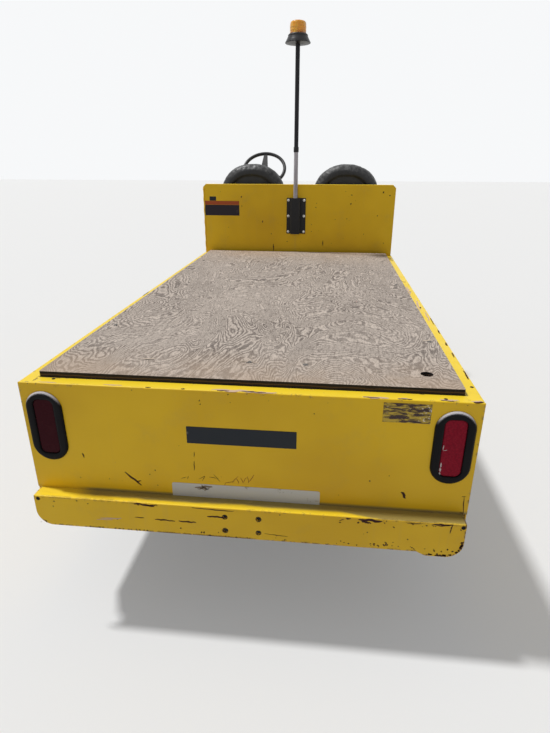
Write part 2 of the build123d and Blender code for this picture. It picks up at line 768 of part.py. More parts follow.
# Flashing light on a pole that stands in a bracket behind the backboard
def beacon():
    back = backboard_s - sheet
    mast_s = back - mast_radius - 1
    bracket = block(mast_bracket_x - mast_bracket_width / 2, mast_bracket_x + mast_bracket_width / 2,
                    back, backboard_s, mast_bracket_bottom, mast_bracket_bottom + mast_bracket_height)
    hump = block(mast_x - mast_hump / 2, mast_x + mast_hump / 2, mast_s - mast_radius - sheet, backboard_s,
                 mast_bracket_bottom, mast_bracket_bottom + mast_bracket_height)
    bracket += chamfer(hump.edges().filter_by(Axis.Z).group_by(Axis.Y)[0], mast_radius / 2)
    bracket -= post(mast_x, mast_s, mast_bottom, cowl_height, mast_radius + seat_clearance)
    keep("beacon_bracket", bracket)
    keep("beacon_pole", post(mast_x, mast_s, mast_bottom, mast_top, mast_radius))
    socket = mast_radius + seat_clearance
    low = beacon_base_bottom
    step = low + 2 * beacon_flange_edge
    base_profile = outline([
        (0, mast_top), (socket, mast_top), (socket, low), (mast_radius + 8, low),
        (beacon_flange_radius, low + beacon_flange_edge), (beacon_flange_radius, step),
        (beacon_collar_radius, step + beacon_flange_edge),
        (beacon_collar_radius, beacon_base_top - beacon_flange_edge),
        (beacon_collar_radius - beacon_flange_edge, beacon_base_top), (0, beacon_base_top)])
    keep("beacon_base", Pos(mast_x, at(mast_s), 0) * revolve(Plane.XZ * base_profile, Axis.Z, 360))
    rise = beacon_lens_height
    lens_profile = outline([
        (0, beacon_base_top), (beacon_lens_radius, beacon_base_top),
        (0.97 * beacon_lens_radius, beacon_top - 0.12 * rise),
        (0.84 * beacon_lens_radius, beacon_top - 0.03 * rise),
        (0.6 * beacon_lens_radius, beacon_top), (0, beacon_top)])
    keep("beacon_lens", Pos(mast_x, at(mast_s), 0) * revolve(Plane.XZ * lens_profile, Axis.Z, 360))


def rear_axle():
    axle = cross_shaft(-axle_tube_end, axle_tube_end, rear_axle_s, axle_z, axle_tube_radius)
    axle += Pos(0, at(rear_axle_s), axle_z) * Rot(0, 90, 0) * Cylinder(gearcase_radius, gearcase_width)
    for side in (-1, 1):
        end = side * axle_tube_end
        axle += cross_shaft(end, end + side * brake_width, rear_axle_s, axle_z, brake_radius)
        hub_start = side * (wheel_x - hub_half_length)
        axle += cross_shaft(end, hub_start - side * moving_gap, rear_axle_s, axle_z, spindle_shoulder)
        axle += cross_shaft(end, side * (wheel_x + hub_half_length + 2), rear_axle_s, axle_z, spindle_radius)
    keep("rear_axle", axle)
    start = at(rear_axle_s) + gearcase_radius
    motor = rod((0, start, axle_z), (0, start + motor_length, axle_z), motor_radius)
    keep("drive_motor", chamfer(motor.edges().group_by(Axis.Y)[-1], motor_bevel))


# Each spring: a stepped stack of curved leaves with an eye at each end, and its clamp plate
def leaf_springs():
    springs = []
    start_x = rail_x - leaf_width / 2
    stop_x = rail_x + leaf_width / 2
    for centre, half in spring_seats:
        radius = (half * half + leaf_rise * leaf_rise) / (2 * leaf_rise)
        under = []
        over = []
        for number, share in enumerate(leaf_shares):
            reach = half * share
            rise = stack_top + radius - sqrt(radius * radius - reach * reach)
            over.append((reach, rise))
            if number:
                under.append((reach, rise - leaf_thickness * number))
            under.append((reach, rise - leaf_thickness * (number + 1)))
        under[-1] = (reach, spring_bottom)      # the last leaf lies flat on its axle
        right = over[::-1] + under
        left = [(-y, z) for y, z in reversed(right)]
        face = outline([(at(centre) + y, z) for y, z in right + left])
        stack = along(face, start_x, stop_x)
        clamp = block(start_x - clamp_side, stop_x + clamp_side, centre - clamp_length / 2,
                      centre + clamp_length / 2, stack_top - leaf_thickness / 2, stack_top + leaf_thickness)
        stack += clamp
        for end in (centre - half, centre + half):
            stack += cross_shaft(start_x, stop_x, end, eye_z, eye_radius)
            stack -= cross_shaft(start_x - 1, stop_x + 1, end, eye_z, eye_pin_radius + seat_clearance)
        springs += both_sides(stack)
    keep("leaf_springs", *springs)


def battery_pack():
    pack = block(-battery_width / 2, battery_width / 2, battery_start_s, battery_start_s + battery_length,
                 rail_top, rail_top + battery_height)
    keep("battery_pack", chamfer(pack.edges().filter_by(Axis.Z), 10))


def front_axle():
    beam = block(-kingpin_x, kingpin_x, front_axle_s - beam_width / 2, front_axle_s + beam_width / 2,
                 axle_z - beam_height / 2, beam_top)
    perch = clamp_length / 3
    for pad in both_sides(block(rail_x - perch, rail_x + perch, front_axle_s - perch, front_axle_s + perch,
                                beam_top, spring_bottom)):
        beam += pad
    for side in (-1, 1):
        beam += post(side * kingpin_x, front_axle_s, boss_bottom, boss_top, boss_radius)
        beam += post(side * kingpin_x, front_axle_s, ear_low - 3, ear_high + ear_thickness + 3, kingpin_radius)
    keep("front_axle", beam)


# Knuckle: two ears round the kingpin, an upright, the wheel spindle and steering arms
def knuckle(side):
    web_start = kingpin_x + ear_radius + 3
    web_end = web_start + ear_thickness
    top = ear_high + ear_thickness
    x0 = min(side * web_start, side * web_end)
    x1 = max(side * web_start, side * web_end)
    body = block(x0, x1, front_axle_s - ear_radius, front_axle_s + ear_radius, ear_low, top)
    e0 = min(side * kingpin_x, side * web_start)
    e1 = max(side * kingpin_x, side * web_start)
    for low in (ear_low, ear_high):
        body += block(e0, e1, front_axle_s - ear_radius, front_axle_s + ear_radius, low, low + ear_thickness)
        body += post(side * kingpin_x, front_axle_s, low, low + ear_thickness, ear_radius)
    body += cross_shaft(side * web_end, side * (wheel_x - hub_half_length - moving_gap), front_axle_s, axle_z,
                        spindle_shoulder)
    tip = side * (wheel_x + hub_half_length + 2)
    body += cross_shaft(side * web_end, tip, front_axle_s, axle_z, spindle_radius)
    end_s = front_axle_s - tie_arm
    x = side * kingpin_x
    body += block(x - arm_width / 2, x + arm_width / 2, end_s, front_axle_s, ear_low, ear_low + arm_thickness)
    body += post(x, end_s, ear_low, ear_low + arm_thickness, arm_width / 2)
    holes = [(x, end_s)]
    if side < 0:
        tip = x + drag_arm
        body += block(x, tip, front_axle_s - arm_width / 2, front_axle_s + arm_width / 2, ear_low,
                      ear_low + arm_thickness)
        body += post(tip, front_axle_s, ear_low, ear_low + arm_thickness, arm_width / 2)
        holes.append((tip, front_axle_s))
    body -= post(x, front_axle_s, ear_low - 1, top + 1, kingpin_radius + running_fit)
    for hole_x, hole_s in holes:
        body -= post(hole_x, hole_s, ear_low - 1, ear_low + arm_thickness + 1, stud_radius + running_fit)
    return body


# A link with a ball end and an upright stud at each end; the far stud has more room
def link(start_x, start_s, end_x, end_s):
    body = rod((start_x, at(start_s), link_z), (end_x, at(end_s), link_z), link_radius)
    for x, s, room in ((start_x, start_s, 0.0), (end_x, end_s, 0.45)):
        body += post(x, s, link_z - ball_height / 2, link_z + ball_height / 2, ball_radius)
        body += post(x, s, link_z, ear_low + arm_thickness + 2, stud_radius - room)
    return body


def steering_linkage():
    keep("knuckle_left", knuckle(-1))
    keep("knuckle_right", knuckle(1))
    tie_s = front_axle_s - tie_arm
    keep("tie_rod", link(-kingpin_x, tie_s, kingpin_x, tie_s))
    near_x = -kingpin_x + drag_arm
    far_x = steering_x + drag_arm
    keep("drag_link", link(near_x, front_axle_s, far_x, steering_box_s))
    arm = block(steering_x, far_x, steering_box_s - arm_width / 2, steering_box_s + arm_width / 2, ear_low,
                ear_low + arm_thickness)
    arm += post(steering_x, steering_box_s, ear_low, ear_low + arm_thickness, arm_width / 2 + 4)
    arm += post(far_x, steering_box_s, ear_low, ear_low + arm_thickness, arm_width / 2)
    arm += post(steering_x, steering_box_s, ear_low, pitman_shaft_top, pitman_shaft_radius)
    arm -= post(far_x, steering_box_s, ear_low - 1, ear_low + arm_thickness + 1, stud_radius + running_fit)
    keep("pitman_arm", arm)


# Wheel profiles are drawn with x across the wheel, outward, and y as the radius.
def rim_profile():
    w = rim_half_width
    band = bead_radius - rim_metal
    bore = spindle_radius + running_fit
    cap = hub_half_length + moving_gap + rim_metal
    return outline([
        (w, band), (w, rim_flange_radius), (w - rim_flange_lean, bead_radius),
        (rim_flange_lean - w, bead_radius), (-w, rim_flange_radius),
        (-w, band), (-rim_metal, band), (-rim_dish, hub_radius), (-hub_half_length, hub_radius),
        (-hub_half_length, bore), (cap - rim_metal, bore), (cap - rim_metal, 0), (cap, 0), (cap, bore + 3),
        (hub_half_length, hub_radius), (0, hub_radius), (rim_dish - rim_metal, band)])


def tyre_profile():
    r = tyre_diameter / 2
    w = tyre_width / 2
    gap = seat_clearance
    bead_x = rim_half_width - rim_flange_lean - gap
    lean = rim_flange_lean / (rim_flange_radius - bead_radius)
    half = [(bead_x, bead_radius + 0.1), (w, bead_radius + (w - bead_x) / lean), (w, 0.84 * r),
            (w - shoulder_width, r)]
    return outline(half + [(-x, y) for x, y in reversed(half)])


def wheels():
    rim = revolve(rim_profile(), Axis.X, 360)
    tyre = revolve(tyre_profile(), Axis.X, 360)
    for place, station in (("front", front_axle_s), ("rear", rear_axle_s)):
        for name, side in (("left", -1), ("right", 1)):
            move = Pos(side * wheel_x, at(station), axle_z) * Rot(0, 0, 0 if side > 0 else 180)
            keep(f"rim_{place}_{name}", move * rim)
            keep(f"tyre_{place}_{name}", move * tyre)


chassis_rails()
cross_members()
deck_bearers()
body_sides()
rear_panel()
rear_bumper()
tail_lamps()
deck_board()
wheel_wells()
backboard()
seat_box()
seats()
step_floor()
front_cowl()
dash_panel()
grab_bar()
headlights()
steering_column()
steering_wheel()
foot_controls()
beacon()
rear_axle()
leaf_springs()
battery_pack()
front_axle()
steering_linkage()
wheels()

os.makedirs("parts", exist_ok=True)
for name, shape in made.items():
    export_step(shape, f"parts/{name}.step")
print(len(made), "nodes written")
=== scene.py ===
import math
import random

import bmesh
import bpy
from mathutils import Matrix, Vector, noise
from mathutils.bvhtree import BVHTree


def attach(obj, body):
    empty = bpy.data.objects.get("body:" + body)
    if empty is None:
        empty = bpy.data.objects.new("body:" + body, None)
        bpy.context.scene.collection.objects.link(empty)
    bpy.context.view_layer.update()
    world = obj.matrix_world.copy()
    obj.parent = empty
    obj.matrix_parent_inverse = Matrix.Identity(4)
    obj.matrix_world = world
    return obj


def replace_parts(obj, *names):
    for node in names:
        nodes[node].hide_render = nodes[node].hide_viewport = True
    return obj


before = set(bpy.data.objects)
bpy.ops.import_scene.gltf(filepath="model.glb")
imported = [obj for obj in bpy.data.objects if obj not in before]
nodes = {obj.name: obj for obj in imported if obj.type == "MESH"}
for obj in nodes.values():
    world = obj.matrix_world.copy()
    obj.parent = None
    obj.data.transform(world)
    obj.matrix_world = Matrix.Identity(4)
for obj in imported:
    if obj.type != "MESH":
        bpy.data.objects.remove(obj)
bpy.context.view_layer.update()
scene = bpy.context.scene
collection = scene.collection
print("frame loaded:", len(nodes), "nodes")


def station(metres):  # distance forward from the rear panel's face
    return metres - 1.599


# Camera at the photograph's place and angle
cameraLook = {
    "place": (0.1965, -2.6922, 1.2394),
    "forward": (-0.0967, 0.9231, -0.3721),
    "roll": 0.002,
    "lens": 24.8,
}


def makeCamera(look):
    data = bpy.data.cameras.new("camera")
    data.lens = look["lens"]
    data.sensor_width = 36.0
    data.clip_start = 0.02
    camera = bpy.data.objects.new("camera", data)
    collection.objects.link(camera)
    camera.location = look["place"]
    camera.rotation_mode = "QUATERNION"
    turn = Vector(look["forward"]).to_track_quat("-Z", "Y")
    camera.rotation_quaternion = turn @ Matrix.Rotation(look["roll"], 4, "Z").to_quaternion()
    scene.camera = camera


makeCamera(cameraLook)


# Node building
def addNode(tree, kind, inputs, **settings):
    made = tree.nodes.new(kind)
    for key, value in settings.items():
        setattr(made, key, value)
    for key, value in inputs.items():
        if isinstance(value, bpy.types.NodeSocket):
            tree.links.new(value, made.inputs[key])
        else:
            made.inputs[key].default_value = value
    return made


def sums(tree, operation, first, second):
    return addNode(tree, "ShaderNodeMath", {0: first, 1: second}, operation=operation).outputs[0]


def chained(tree, operation, values):
    result = values[0]
    for value in values[1:]:
        result = sums(tree, operation, result, value)
    return result


def times(tree, *values):
    return chained(tree, "MULTIPLY", values)


def plus(tree, *values):
    return chained(tree, "ADD", values)


def larger(tree, *values):
    return chained(tree, "MAXIMUM", values)


def seenDirectly(tree):  # 1 for the camera's rays, also mirrored or through glass
    rays = addNode(tree, "ShaderNodeLightPath", {}).outputs
    return larger(tree, rays["Is Camera Ray"], rays["Is Glossy Ray"], rays["Is Transmission Ray"])


def newMaterial(name, colour, roughness, **sockets):
    material = bpy.data.materials.new(name)
    material.use_nodes = True
    inputs = material.node_tree.nodes["Principled BSDF"].inputs
    inputs["Base Color"].default_value = (*colour, 1)
    inputs["Roughness"].default_value = roughness
    for key, value in sockets.items():
        inputs[key.replace("_", " ")].default_value = value
    return material, material.node_tree


# Soft high daylight from the left and a little ahead, over a pale floor in a pale surround
studioLook = {
    "floorColour": (0.62, 0.62, 0.615),
    "floorPale": 0.20,
    "floorRough": 0.9,
    "floorHalf": 40.0,
    "surround": (0.93, 0.94, 0.95),
    "ambient": 0.28,
    "sunFrom": (-0.42, 0.075, 0.88),
    "sunStrength": 2.5,
    "sunSpread": 4.5,
}


def makeSurround(look):
    world = bpy.data.worlds.new("surround")
    scene.world = world
    world.use_nodes = True
    tree = world.node_tree
    tree.nodes.clear()
    plain = addNode(tree, "ShaderNodeBackground", {"Color": (1, 1, 1, 1), "Strength": look["ambient"]})
    pale = addNode(tree, "ShaderNodeBackground", {"Color": (*look["surround"], 1)})
    inputs = {0: seenDirectly(tree), 1: plain.outputs[0], 2: pale.outputs[0]}
    addNode(tree, "ShaderNodeOutputWorld", {0: addNode(tree, "ShaderNodeMixShader", inputs).outputs[0]})


def makeDaylight(look):
    data = bpy.data.lights.new("daylight", "SUN")
    data.energy = look["sunStrength"]
    data.angle = math.radians(look["sunSpread"])
    lamp = bpy.data.objects.new("daylight", data)
    lamp.rotation_mode = "QUATERNION"
    lamp.rotation_quaternion = Vector(look["sunFrom"]).to_track_quat("Z", "Y")
    collection.objects.link(lamp)


def makeFloor(look):
    bm = bmesh.new()
    bmesh.ops.create_grid(bm, x_segments=1, y_segments=1, size=look["floorHalf"])
    mesh = bpy.data.meshes.new("studioFloor")
    bm.to_mesh(mesh)
    bm.free()
    floor = bpy.data.objects.new("studioFloor", mesh)
    collection.objects.link(floor)
    white = (1, 1, 1, 1)
    paint, tree = newMaterial("floorPaint", look["floorColour"], look["floorRough"], Emission_Color=white)
    strength = tree.nodes["Principled BSDF"].inputs["Emission Strength"]
    tree.links.new(times(tree, seenDirectly(tree), look["floorPale"]), strength)
    mesh.materials.append(paint)


scene.view_settings.view_transform = "Standard"
makeSurround(studioLook)
makeDaylight(studioLook)
makeFloor(studioLook)
print("camera and studio made")


def objectPlace(tree, stretch=(1, 1, 1)):
    coordinates = addNode(tree, "ShaderNodeTexCoord", {})
    mapping = addNode(tree, "ShaderNodeMapping", {"Vector": coordinates.outputs["Object"], "Scale": stretch})
    return mapping.outputs["Vector"]


def cloudy(tree, place, scale, detail=4.0, roughness=0.55, distortion=0.0):
    inputs = {"Vector": place, "Scale": scale, "Detail": detail, "Roughness": roughness,
              "Distortion": distortion}
    return addNode(tree, "ShaderNodeTexNoise", inputs).outputs["Fac"]


def streaky(tree, stretch, detail=4.0, roughness=0.55, distortion=0.0):  # noise drawn out along an axis
    return cloudy(tree, objectPlace(tree, stretch), 1.0, detail, roughness, distortion)


def fade(tree, value, low, high, start=0.0, end=1.0):
    inputs = {"Value": value, "From Min": low, "From Max": high, "To Min": start, "To Max": end}
    return addNode(tree, "ShaderNodeMapRange", inputs, interpolation_type="SMOOTHSTEP").outputs["Result"]


def colour4(value):
    return value if isinstance(value, bpy.types.NodeSocket) else (*value, 1)


def blendColour(tree, factor, first, second):
    inputs = {0: factor, 6: colour4(first), 7: colour4(second)}
    return addNode(tree, "ShaderNodeMix", inputs, data_type="RGBA").outputs[2]


def axisOf(tree, place, axis):
    return addNode(tree, "ShaderNodeSeparateXYZ", {"Vector": place}).outputs[axis]


def surfaceNormal(tree):
    return addNode(tree, "ShaderNodeNewGeometry", {}).outputs["Normal"]


def facingUp(tree):
    return axisOf(tree, surfaceNormal(tree), 2)


def bevelled(tree, radius, samples):
    return addNode(tree, "ShaderNodeBevel", {"Radius": radius}, samples=samples).outputs["Normal"]


def edgeWear(tree, radius):  # 1 on convex and concave edges, 0 on flat sheet
    inputs = {0: bevelled(tree, radius, 6), 1: surfaceNormal(tree)}
    alike = addNode(tree, "ShaderNodeVectorMath", inputs, operation="DOT_PRODUCT").outputs["Value"]
    return fade(tree, alike, 0.995, 0.86)


def specks(tree, place, scale, size, share):  # round spots in some of the cells
    cells = addNode(tree, "ShaderNodeTexVoronoi", {"Vector": place, "Scale": scale, "Randomness": 1.0})
    chosen = sums(tree, "GREATER_THAN", axisOf(tree, cells.outputs["Color"], 0), 1.0 - share)
    spread = times(tree, axisOf(tree, cells.outputs["Color"], 1), size)
    return times(tree, chosen, sums(tree, "LESS_THAN", cells.outputs["Distance"], spread))


def dressed(material, colour, roughness, height, depth, strength, normal=None):  # links a finish's outcome
    tree = material.node_tree
    inputs = {"Height": height, "Distance": depth, "Strength": strength}
    if normal is not None:
        inputs["Normal"] = normal
    bump = addNode(tree, "ShaderNodeBump", inputs).outputs["Normal"]
    sockets = tree.nodes["Principled BSDF"].inputs
    for key, value in (("Base Color", colour), ("Roughness", roughness), ("Normal", bump)):
        if value is not None:
            tree.links.new(value, sockets[key])
    return material


# Yellow enamel: rubbed film, chips to primer and rust that gather on the edges, dirt and painted shadow at
# the rear panel's foot, painted sunlight on faces that face up
yellowLook = {
    "fresh": (0.88, 0.555, 0.012),
    "tired": (0.74, 0.440, 0.010),
    "paintedSunlight": (0.95, 0.680, 0.030),
    "primer": (0.60, 0.40, 0.28),
    "rust": (0.060, 0.022, 0.012),
    "dust": (0.44, 0.32, 0.14),
    "grimeAndShadow": (0.235, 0.190, 0.085),
    "wornEdge": 0.0105,
}


def footDirtAndShadow(tree, place):  # dirt and painted shadow of the panel: in the corner between panel and ledge, and over the whole ledge at the right
    shift = fade(tree, cloudy(tree, place, 7.0, 4.0), 0.3, 0.7, -0.004, 0.004)
    x, y, z = (axisOf(tree, place, axis) for axis in range(3))
    inward = plus(tree, y, shift, fade(tree, x, 0.22, 0.36, 0.0, 0.016))
    ledge = fade(tree, inward, station(-0.030), station(-0.019))
    low = times(tree, fade(tree, z, 0.427, 0.418), fade(tree, z, 0.4145, 0.4155))
    return times(tree, ledge, low, fade(tree, x, -0.47, -0.40, 0.1, 0.85))


def yellowPaint(name, chips=1.0, dust=0.2, streaks=0.15, foot=False):
    look = yellowLook
    material, tree = newMaterial(name, look["fresh"], 0.45, Specular_IOR_Level=0.28)
    place = objectPlace(tree)
    tired = fade(tree, cloudy(tree, place, 2.3, 3.0), 0.35, 0.75)
    paint = blendColour(tree, tired, look["fresh"], look["tired"])
    # faces that face up are painted brighter: painted sunlight
    paint = blendColour(tree, fade(tree, facingUp(tree), 0.6, 0.95), paint, look["paintedSunlight"])
    runs = streaky(tree, (22.0, 22.0, 0.9), 5.0, 0.6)
    paint = blendColour(tree, fade(tree, runs, 0.56, 0.80, 0.0, streaks), paint, look["dust"])
    film = cloudy(tree, place, 9.0, 8.0, 0.65)
    paint = blendColour(tree, fade(tree, film, 0.50, 0.86, 0.0, dust), paint, look["dust"])
    # grey-brown band at the panel's foot: dirt and painted shadow of the panel on the ledge
    if foot:
        paint = blendColour(tree, footDirtAndShadow(tree, place), paint, look["grimeAndShadow"])
    rare = fade(tree, cloudy(tree, place, 6.0, 3.0), 0.42, 0.66)
    pull = plus(tree, 0.085 * chips, times(tree, rare, 0.085 * chips))
    patchy = cloudy(tree, place, 58.0, 9.0, 0.74)
    near = plus(tree, patchy, times(tree, edgeWear(tree, look["wornEdge"]), pull))
    worn = fade(tree, near, 0.695, 0.705)
    bare = larger(tree, fade(tree, near, 0.712, 0.722), specks(tree, place, 34.0, 0.11, 0.035 * chips))
    surface = blendColour(tree, bare, blendColour(tree, worn, paint, look["primer"]), look["rust"])
    dull = larger(tree, worn, bare)
    rough = plus(tree, fade(tree, film, 0.3, 0.8, 0.36, 0.56), times(tree, dull, 0.3))
    fine = times(tree, cloudy(tree, place, 160.0, 6.0, 0.7), 0.04)
    dents = times(tree, cloudy(tree, place, 3.0, 2.0), 5.0)
    height = plus(tree, sums(tree, "SUBTRACT", fine, times(tree, dull, 0.5)), dents)
    return dressed(material, surface, rough, height, 0.0006, 0.8, bevelled(tree, 0.0016, 4))


# Weathered plywood: fine fibres in a faint contour grain, tan ends, small dark checks and a dark layered edge
plyLook = {
    "pale": (0.62, 0.535, 0.465),
    "grey": (0.150, 0.125, 0.110),
    "dark": (0.085, 0.066, 0.056),
    "tan": (0.50, 0.375, 0.275),
    "edge": (0.012, 0.009, 0.008),
    "glue": (0.085, 0.050, 0.030),
}


def deckPly():
    look = plyLook
    material, tree = newMaterial("weatheredPly", look["grey"], 0.85, Specular_IOR_Level=0.3)
    place = objectPlace(tree)
    hills = streaky(tree, (3.4, 1.5, 3.4), 2.5, 0.5, 1.1)
    wobble = streaky(tree, (40.0, 16.0, 40.0), 4.0, 0.65)
    lines = plus(tree, times(tree, hills, 62.0), times(tree, wobble, 2.4))
    ring = fade(tree, sums(tree, "PINGPONG", lines, 0.5), 0.14, 0.40)
    fibres = streaky(tree, (170.0, 42.0, 170.0), 7.0, 0.82, 0.8)
    weave = streaky(tree, (85.0, 48.0, 85.0), 6.0, 0.75, 2.2)
    patches = cloudy(tree, place, 3.0, 5.0, 0.6)
    faint = times(tree, ring, fade(tree, patches, 0.3, 0.7, 0.55, 1.0))
    wood = blendColour(tree, faint, look["pale"], look["grey"])
    wood = blendColour(tree, fade(tree, fibres, 0.46, 0.60, 0.0, 0.62), wood, look["dark"])
    wood = blendColour(tree, fade(tree, weave, 0.50, 0.62, 0.0, 0.42), wood, look["pale"])
    y = axisOf(tree, place, 1)
    rear = fade(tree, y, station(0.30), station(0.03))
    front = fade(tree, y, station(1.55), station(2.03))
    worn = times(tree, larger(tree, rear, front), fade(tree, patches, 0.35, 0.62, 0.15, 0.62))
    wood = blendColour(tree, worn, wood, look["tan"])
    check = fade(tree, streaky(tree, (95.0, 9.0, 95.0), 4.0, 0.65), 0.69, 0.72)
    wood = blendColour(tree, times(tree, check, 0.75), wood, look["dark"])
    stains = fade(tree, cloudy(tree, place, 5.5, 6.0, 0.7), 0.60, 0.75, 0.0, 0.25)
    wood = blendColour(tree, stains, wood, look["dark"])
    wander = fade(tree, cloudy(tree, place, 18.0, 4.0), 0.3, 0.7, -0.0012, 0.0012)
    seam = plus(tree, axisOf(tree, place, 2), wander)
    layer = times(tree, fade(tree, seam, 0.7335, 0.7345), fade(tree, seam, 0.7375, 0.7365))
    edges = blendColour(tree, layer, look["edge"], look["glue"])
    wood = blendColour(tree, fade(tree, facingUp(tree), 0.5, 0.8), edges, wood)
    height = plus(tree, times(tree, fibres, -1.3), times(tree, faint, -0.5))
    height = sums(tree, "SUBTRACT", height, times(tree, check, 1.4))
    return dressed(material, wood, None, height, 0.0012, 1.0)


# Plain finishes share one recipe: a base, cloudy dust and a fine grain, with rounded edges where round is
# given
def dustyFinish(name, colour, roughness, dust=(0.20, 0.175, 0.145), amount=0.35, grain=220.0,
                relief=0.0002, round=0.0, gloss=0.25, sheen=None, **sockets):
    material, tree = newMaterial(name, colour, roughness, Specular_IOR_Level=gloss, **sockets)
    place = objectPlace(tree)
    film = cloudy(tree, place, 11.0, 8.0, 0.65)
    speck = cloudy(tree, place, 140.0, 4.0, 0.7)
    upward = fade(tree, facingUp(tree), 0.1, 0.9, 0.35, 1.0)
    cover = times(tree, fade(tree, film, 0.36, 0.78), upward,
                  fade(tree, speck, 0.25, 0.75, 0.5 * amount, amount))
    tone = blendColour(tree, cover, colour, dust)
    soft = bevelled(tree, round, 6) if round else None
    if sheen:  # the rounded edge over the lamp shines in the sun
        above = fade(tree, axisOf(tree, place, 2), 0.60, 0.66)
        tone = blendColour(tree, times(tree, fade(tree, axisOf(tree, soft, 2), 0.2, 0.6), above), tone, sheen)
    rough = fade(tree, film, 0.3, 0.8, roughness - 0.06, min(1.0, roughness + 0.12))
    return dressed(material, tone, rough, cloudy(tree, place, grain, 3.0, 0.6), relief, 0.7, soft)


def vinylFinish(name, colour=(0.007, 0.007, 0.008)):
    material, tree = newMaterial(name, colour, 0.40, Specular_IOR_Level=0.40)
    place = objectPlace(tree)
    film = cloudy(tree, place, 13.0, 8.0, 0.7)
    scuffs = streaky(tree, (60.0, 60.0, 22.0), 8.0, 0.78)
    dusty = times(tree, fade(tree, film, 0.32, 0.66, 0.15, 0.9), fade(tree, scuffs, 0.40, 0.62, 0.12, 1.0),
                  fade(tree, facingUp(tree), 0.15, 0.95, 0.06, 1.0))
    tone = blendColour(tree, dusty, colour, (0.200, 0.198, 0.195))
    grain = addNode(tree, "ShaderNodeTexVoronoi", {"Vector": place, "Scale": 520.0}).outputs["Distance"]
    creases = streaky(tree, (22.0, 22.0, 60.0), 4.0, 0.6, 1.0)
    height = plus(tree, times(tree, grain, 0.30), times(tree, creases, 2.2))
    return dressed(material, tone, fade(tree, film, 0.3, 0.75, 0.34, 0.58), height, 0.0007, 0.7)


def lensFinish(name, colour, glow, shade, dusty):
    material, tree = newMaterial(name, colour, 0.22, Specular_IOR_Level=0.07)
    place = objectPlace(tree)
    film = cloudy(tree, place, 26.0, 6.0, 0.7)
    inputs = {"Vector": place, "Scale": 190.0}
    cells = addNode(tree, "ShaderNodeTexVoronoi", inputs, distance="CHEBYCHEV").outputs["Distance"]
    tone = blendColour(tree, fade(tree, cells, 0.1, 0.7), glow, colour)
    left = fade(tree, axisOf(tree, place, 0), 0.1, -0.1)  # the left lamp is painted darker: painted shade
    tone = blendColour(tree, left, tone, shade)
    tone = blendColour(tree, fade(tree, film, 0.50, 0.85, 0.0, dusty), tone, (0.30, 0.20, 0.17))
    return dressed(material, tone, fade(tree, film, 0.35, 0.8, 0.2, 0.42), cells, 0.0003, 0.3)


def amberFinish(name):  # deep orange at the foot, yellow where light passes
    material, tree = newMaterial(name, (0.9, 0.33, 0.008), 0.15, Transmission_Weight=0.25, IOR=1.49)
    place = objectPlace(tree)
    wander = fade(tree, cloudy(tree, place, 90.0, 3.0), 0.3, 0.7, -0.004, 0.004)
    level = plus(tree, axisOf(tree, place, 2), wander)
    tone = blendColour(tree, fade(tree, level, 1.877, 1.892), (0.50, 0.12, 0.004), (1.0, 0.40, 0.008))
    bright = streaky(tree, (55.0, 55.0, 14.0), 2.0, 0.5)
    tone = blendColour(tree, fade(tree, bright, 0.46, 0.62, 0.0, 0.7), tone, (1.0, 0.60, 0.06))
    return dressed(material, tone, None, bright, 0.0006, 0.4)


def mastFinish():  # black upper tube over a grey lower one
    material, tree = newMaterial("mastPaint", (0.02, 0.02, 0.022), 0.45, Specular_IOR_Level=0.25)
    place = objectPlace(tree)
    level = plus(tree, axisOf(tree, place, 2), times(tree, cloudy(tree, place, 60.0), 0.012))
    film = streaky(tree, (40, 40, 6), 6.0, 0.7)
    scuffed = fade(tree, film, 0.5, 0.8, 0.0, 0.4)
    black = blendColour(tree, scuffed, (0.006, 0.006, 0.009), (0.03, 0.028, 0.028))
    grey = blendColour(tree, fade(tree, film, 0.35, 0.75), (0.52, 0.51, 0.56), (0.33, 0.31, 0.32))
    tone = blendColour(tree, fade(tree, level, 1.3145, 1.3165), grey, black)
    return dressed(material, tone, fade(tree, film, 0.3, 0.8, 0.32, 0.55), film, 0.0004, 0.5)


def tyreFinish():
    material, tree = newMaterial("dustyTyre", (0.025, 0.024, 0.023), 0.85, Specular_IOR_Level=0.25)
    place = objectPlace(tree)
    film = cloudy(tree, place, 18.0, 8.0, 0.7)
    fine = cloudy(tree, place, 240.0, 4.0, 0.7)
    cover = times(tree, fade(tree, film, 0.28, 0.70, 0.35, 0.9), fade(tree, fine, 0.2, 0.7, 0.6, 1.0))
    tone = blendColour(tree, cover, (0.022, 0.021, 0.020), (0.15, 0.137, 0.120))
    return dressed(material, tone, None, fine, 0.0005, 0.8)


def platePaint(name, colour, worn, amount, roughness=0.5):  # stickers and plates: rubbed, with lifted flakes
    material, tree = newMaterial(name, colour, roughness, Specular_IOR_Level=0.25)
    rub = cloudy(tree, objectPlace(tree), 34.0, 9.0, 0.72)
    stroke = streaky(tree, (14.0, 14.0, 130.0), 5.0, 0.65)
    mask = larger(tree, fade(tree, rub, 0.66 - amount, 0.72 - amount),
                  fade(tree, stroke, 0.70 - amount, 0.76 - amount))
    return dressed(material, blendColour(tree, mask, colour, worn), None, rub, 0.0003, 0.5)


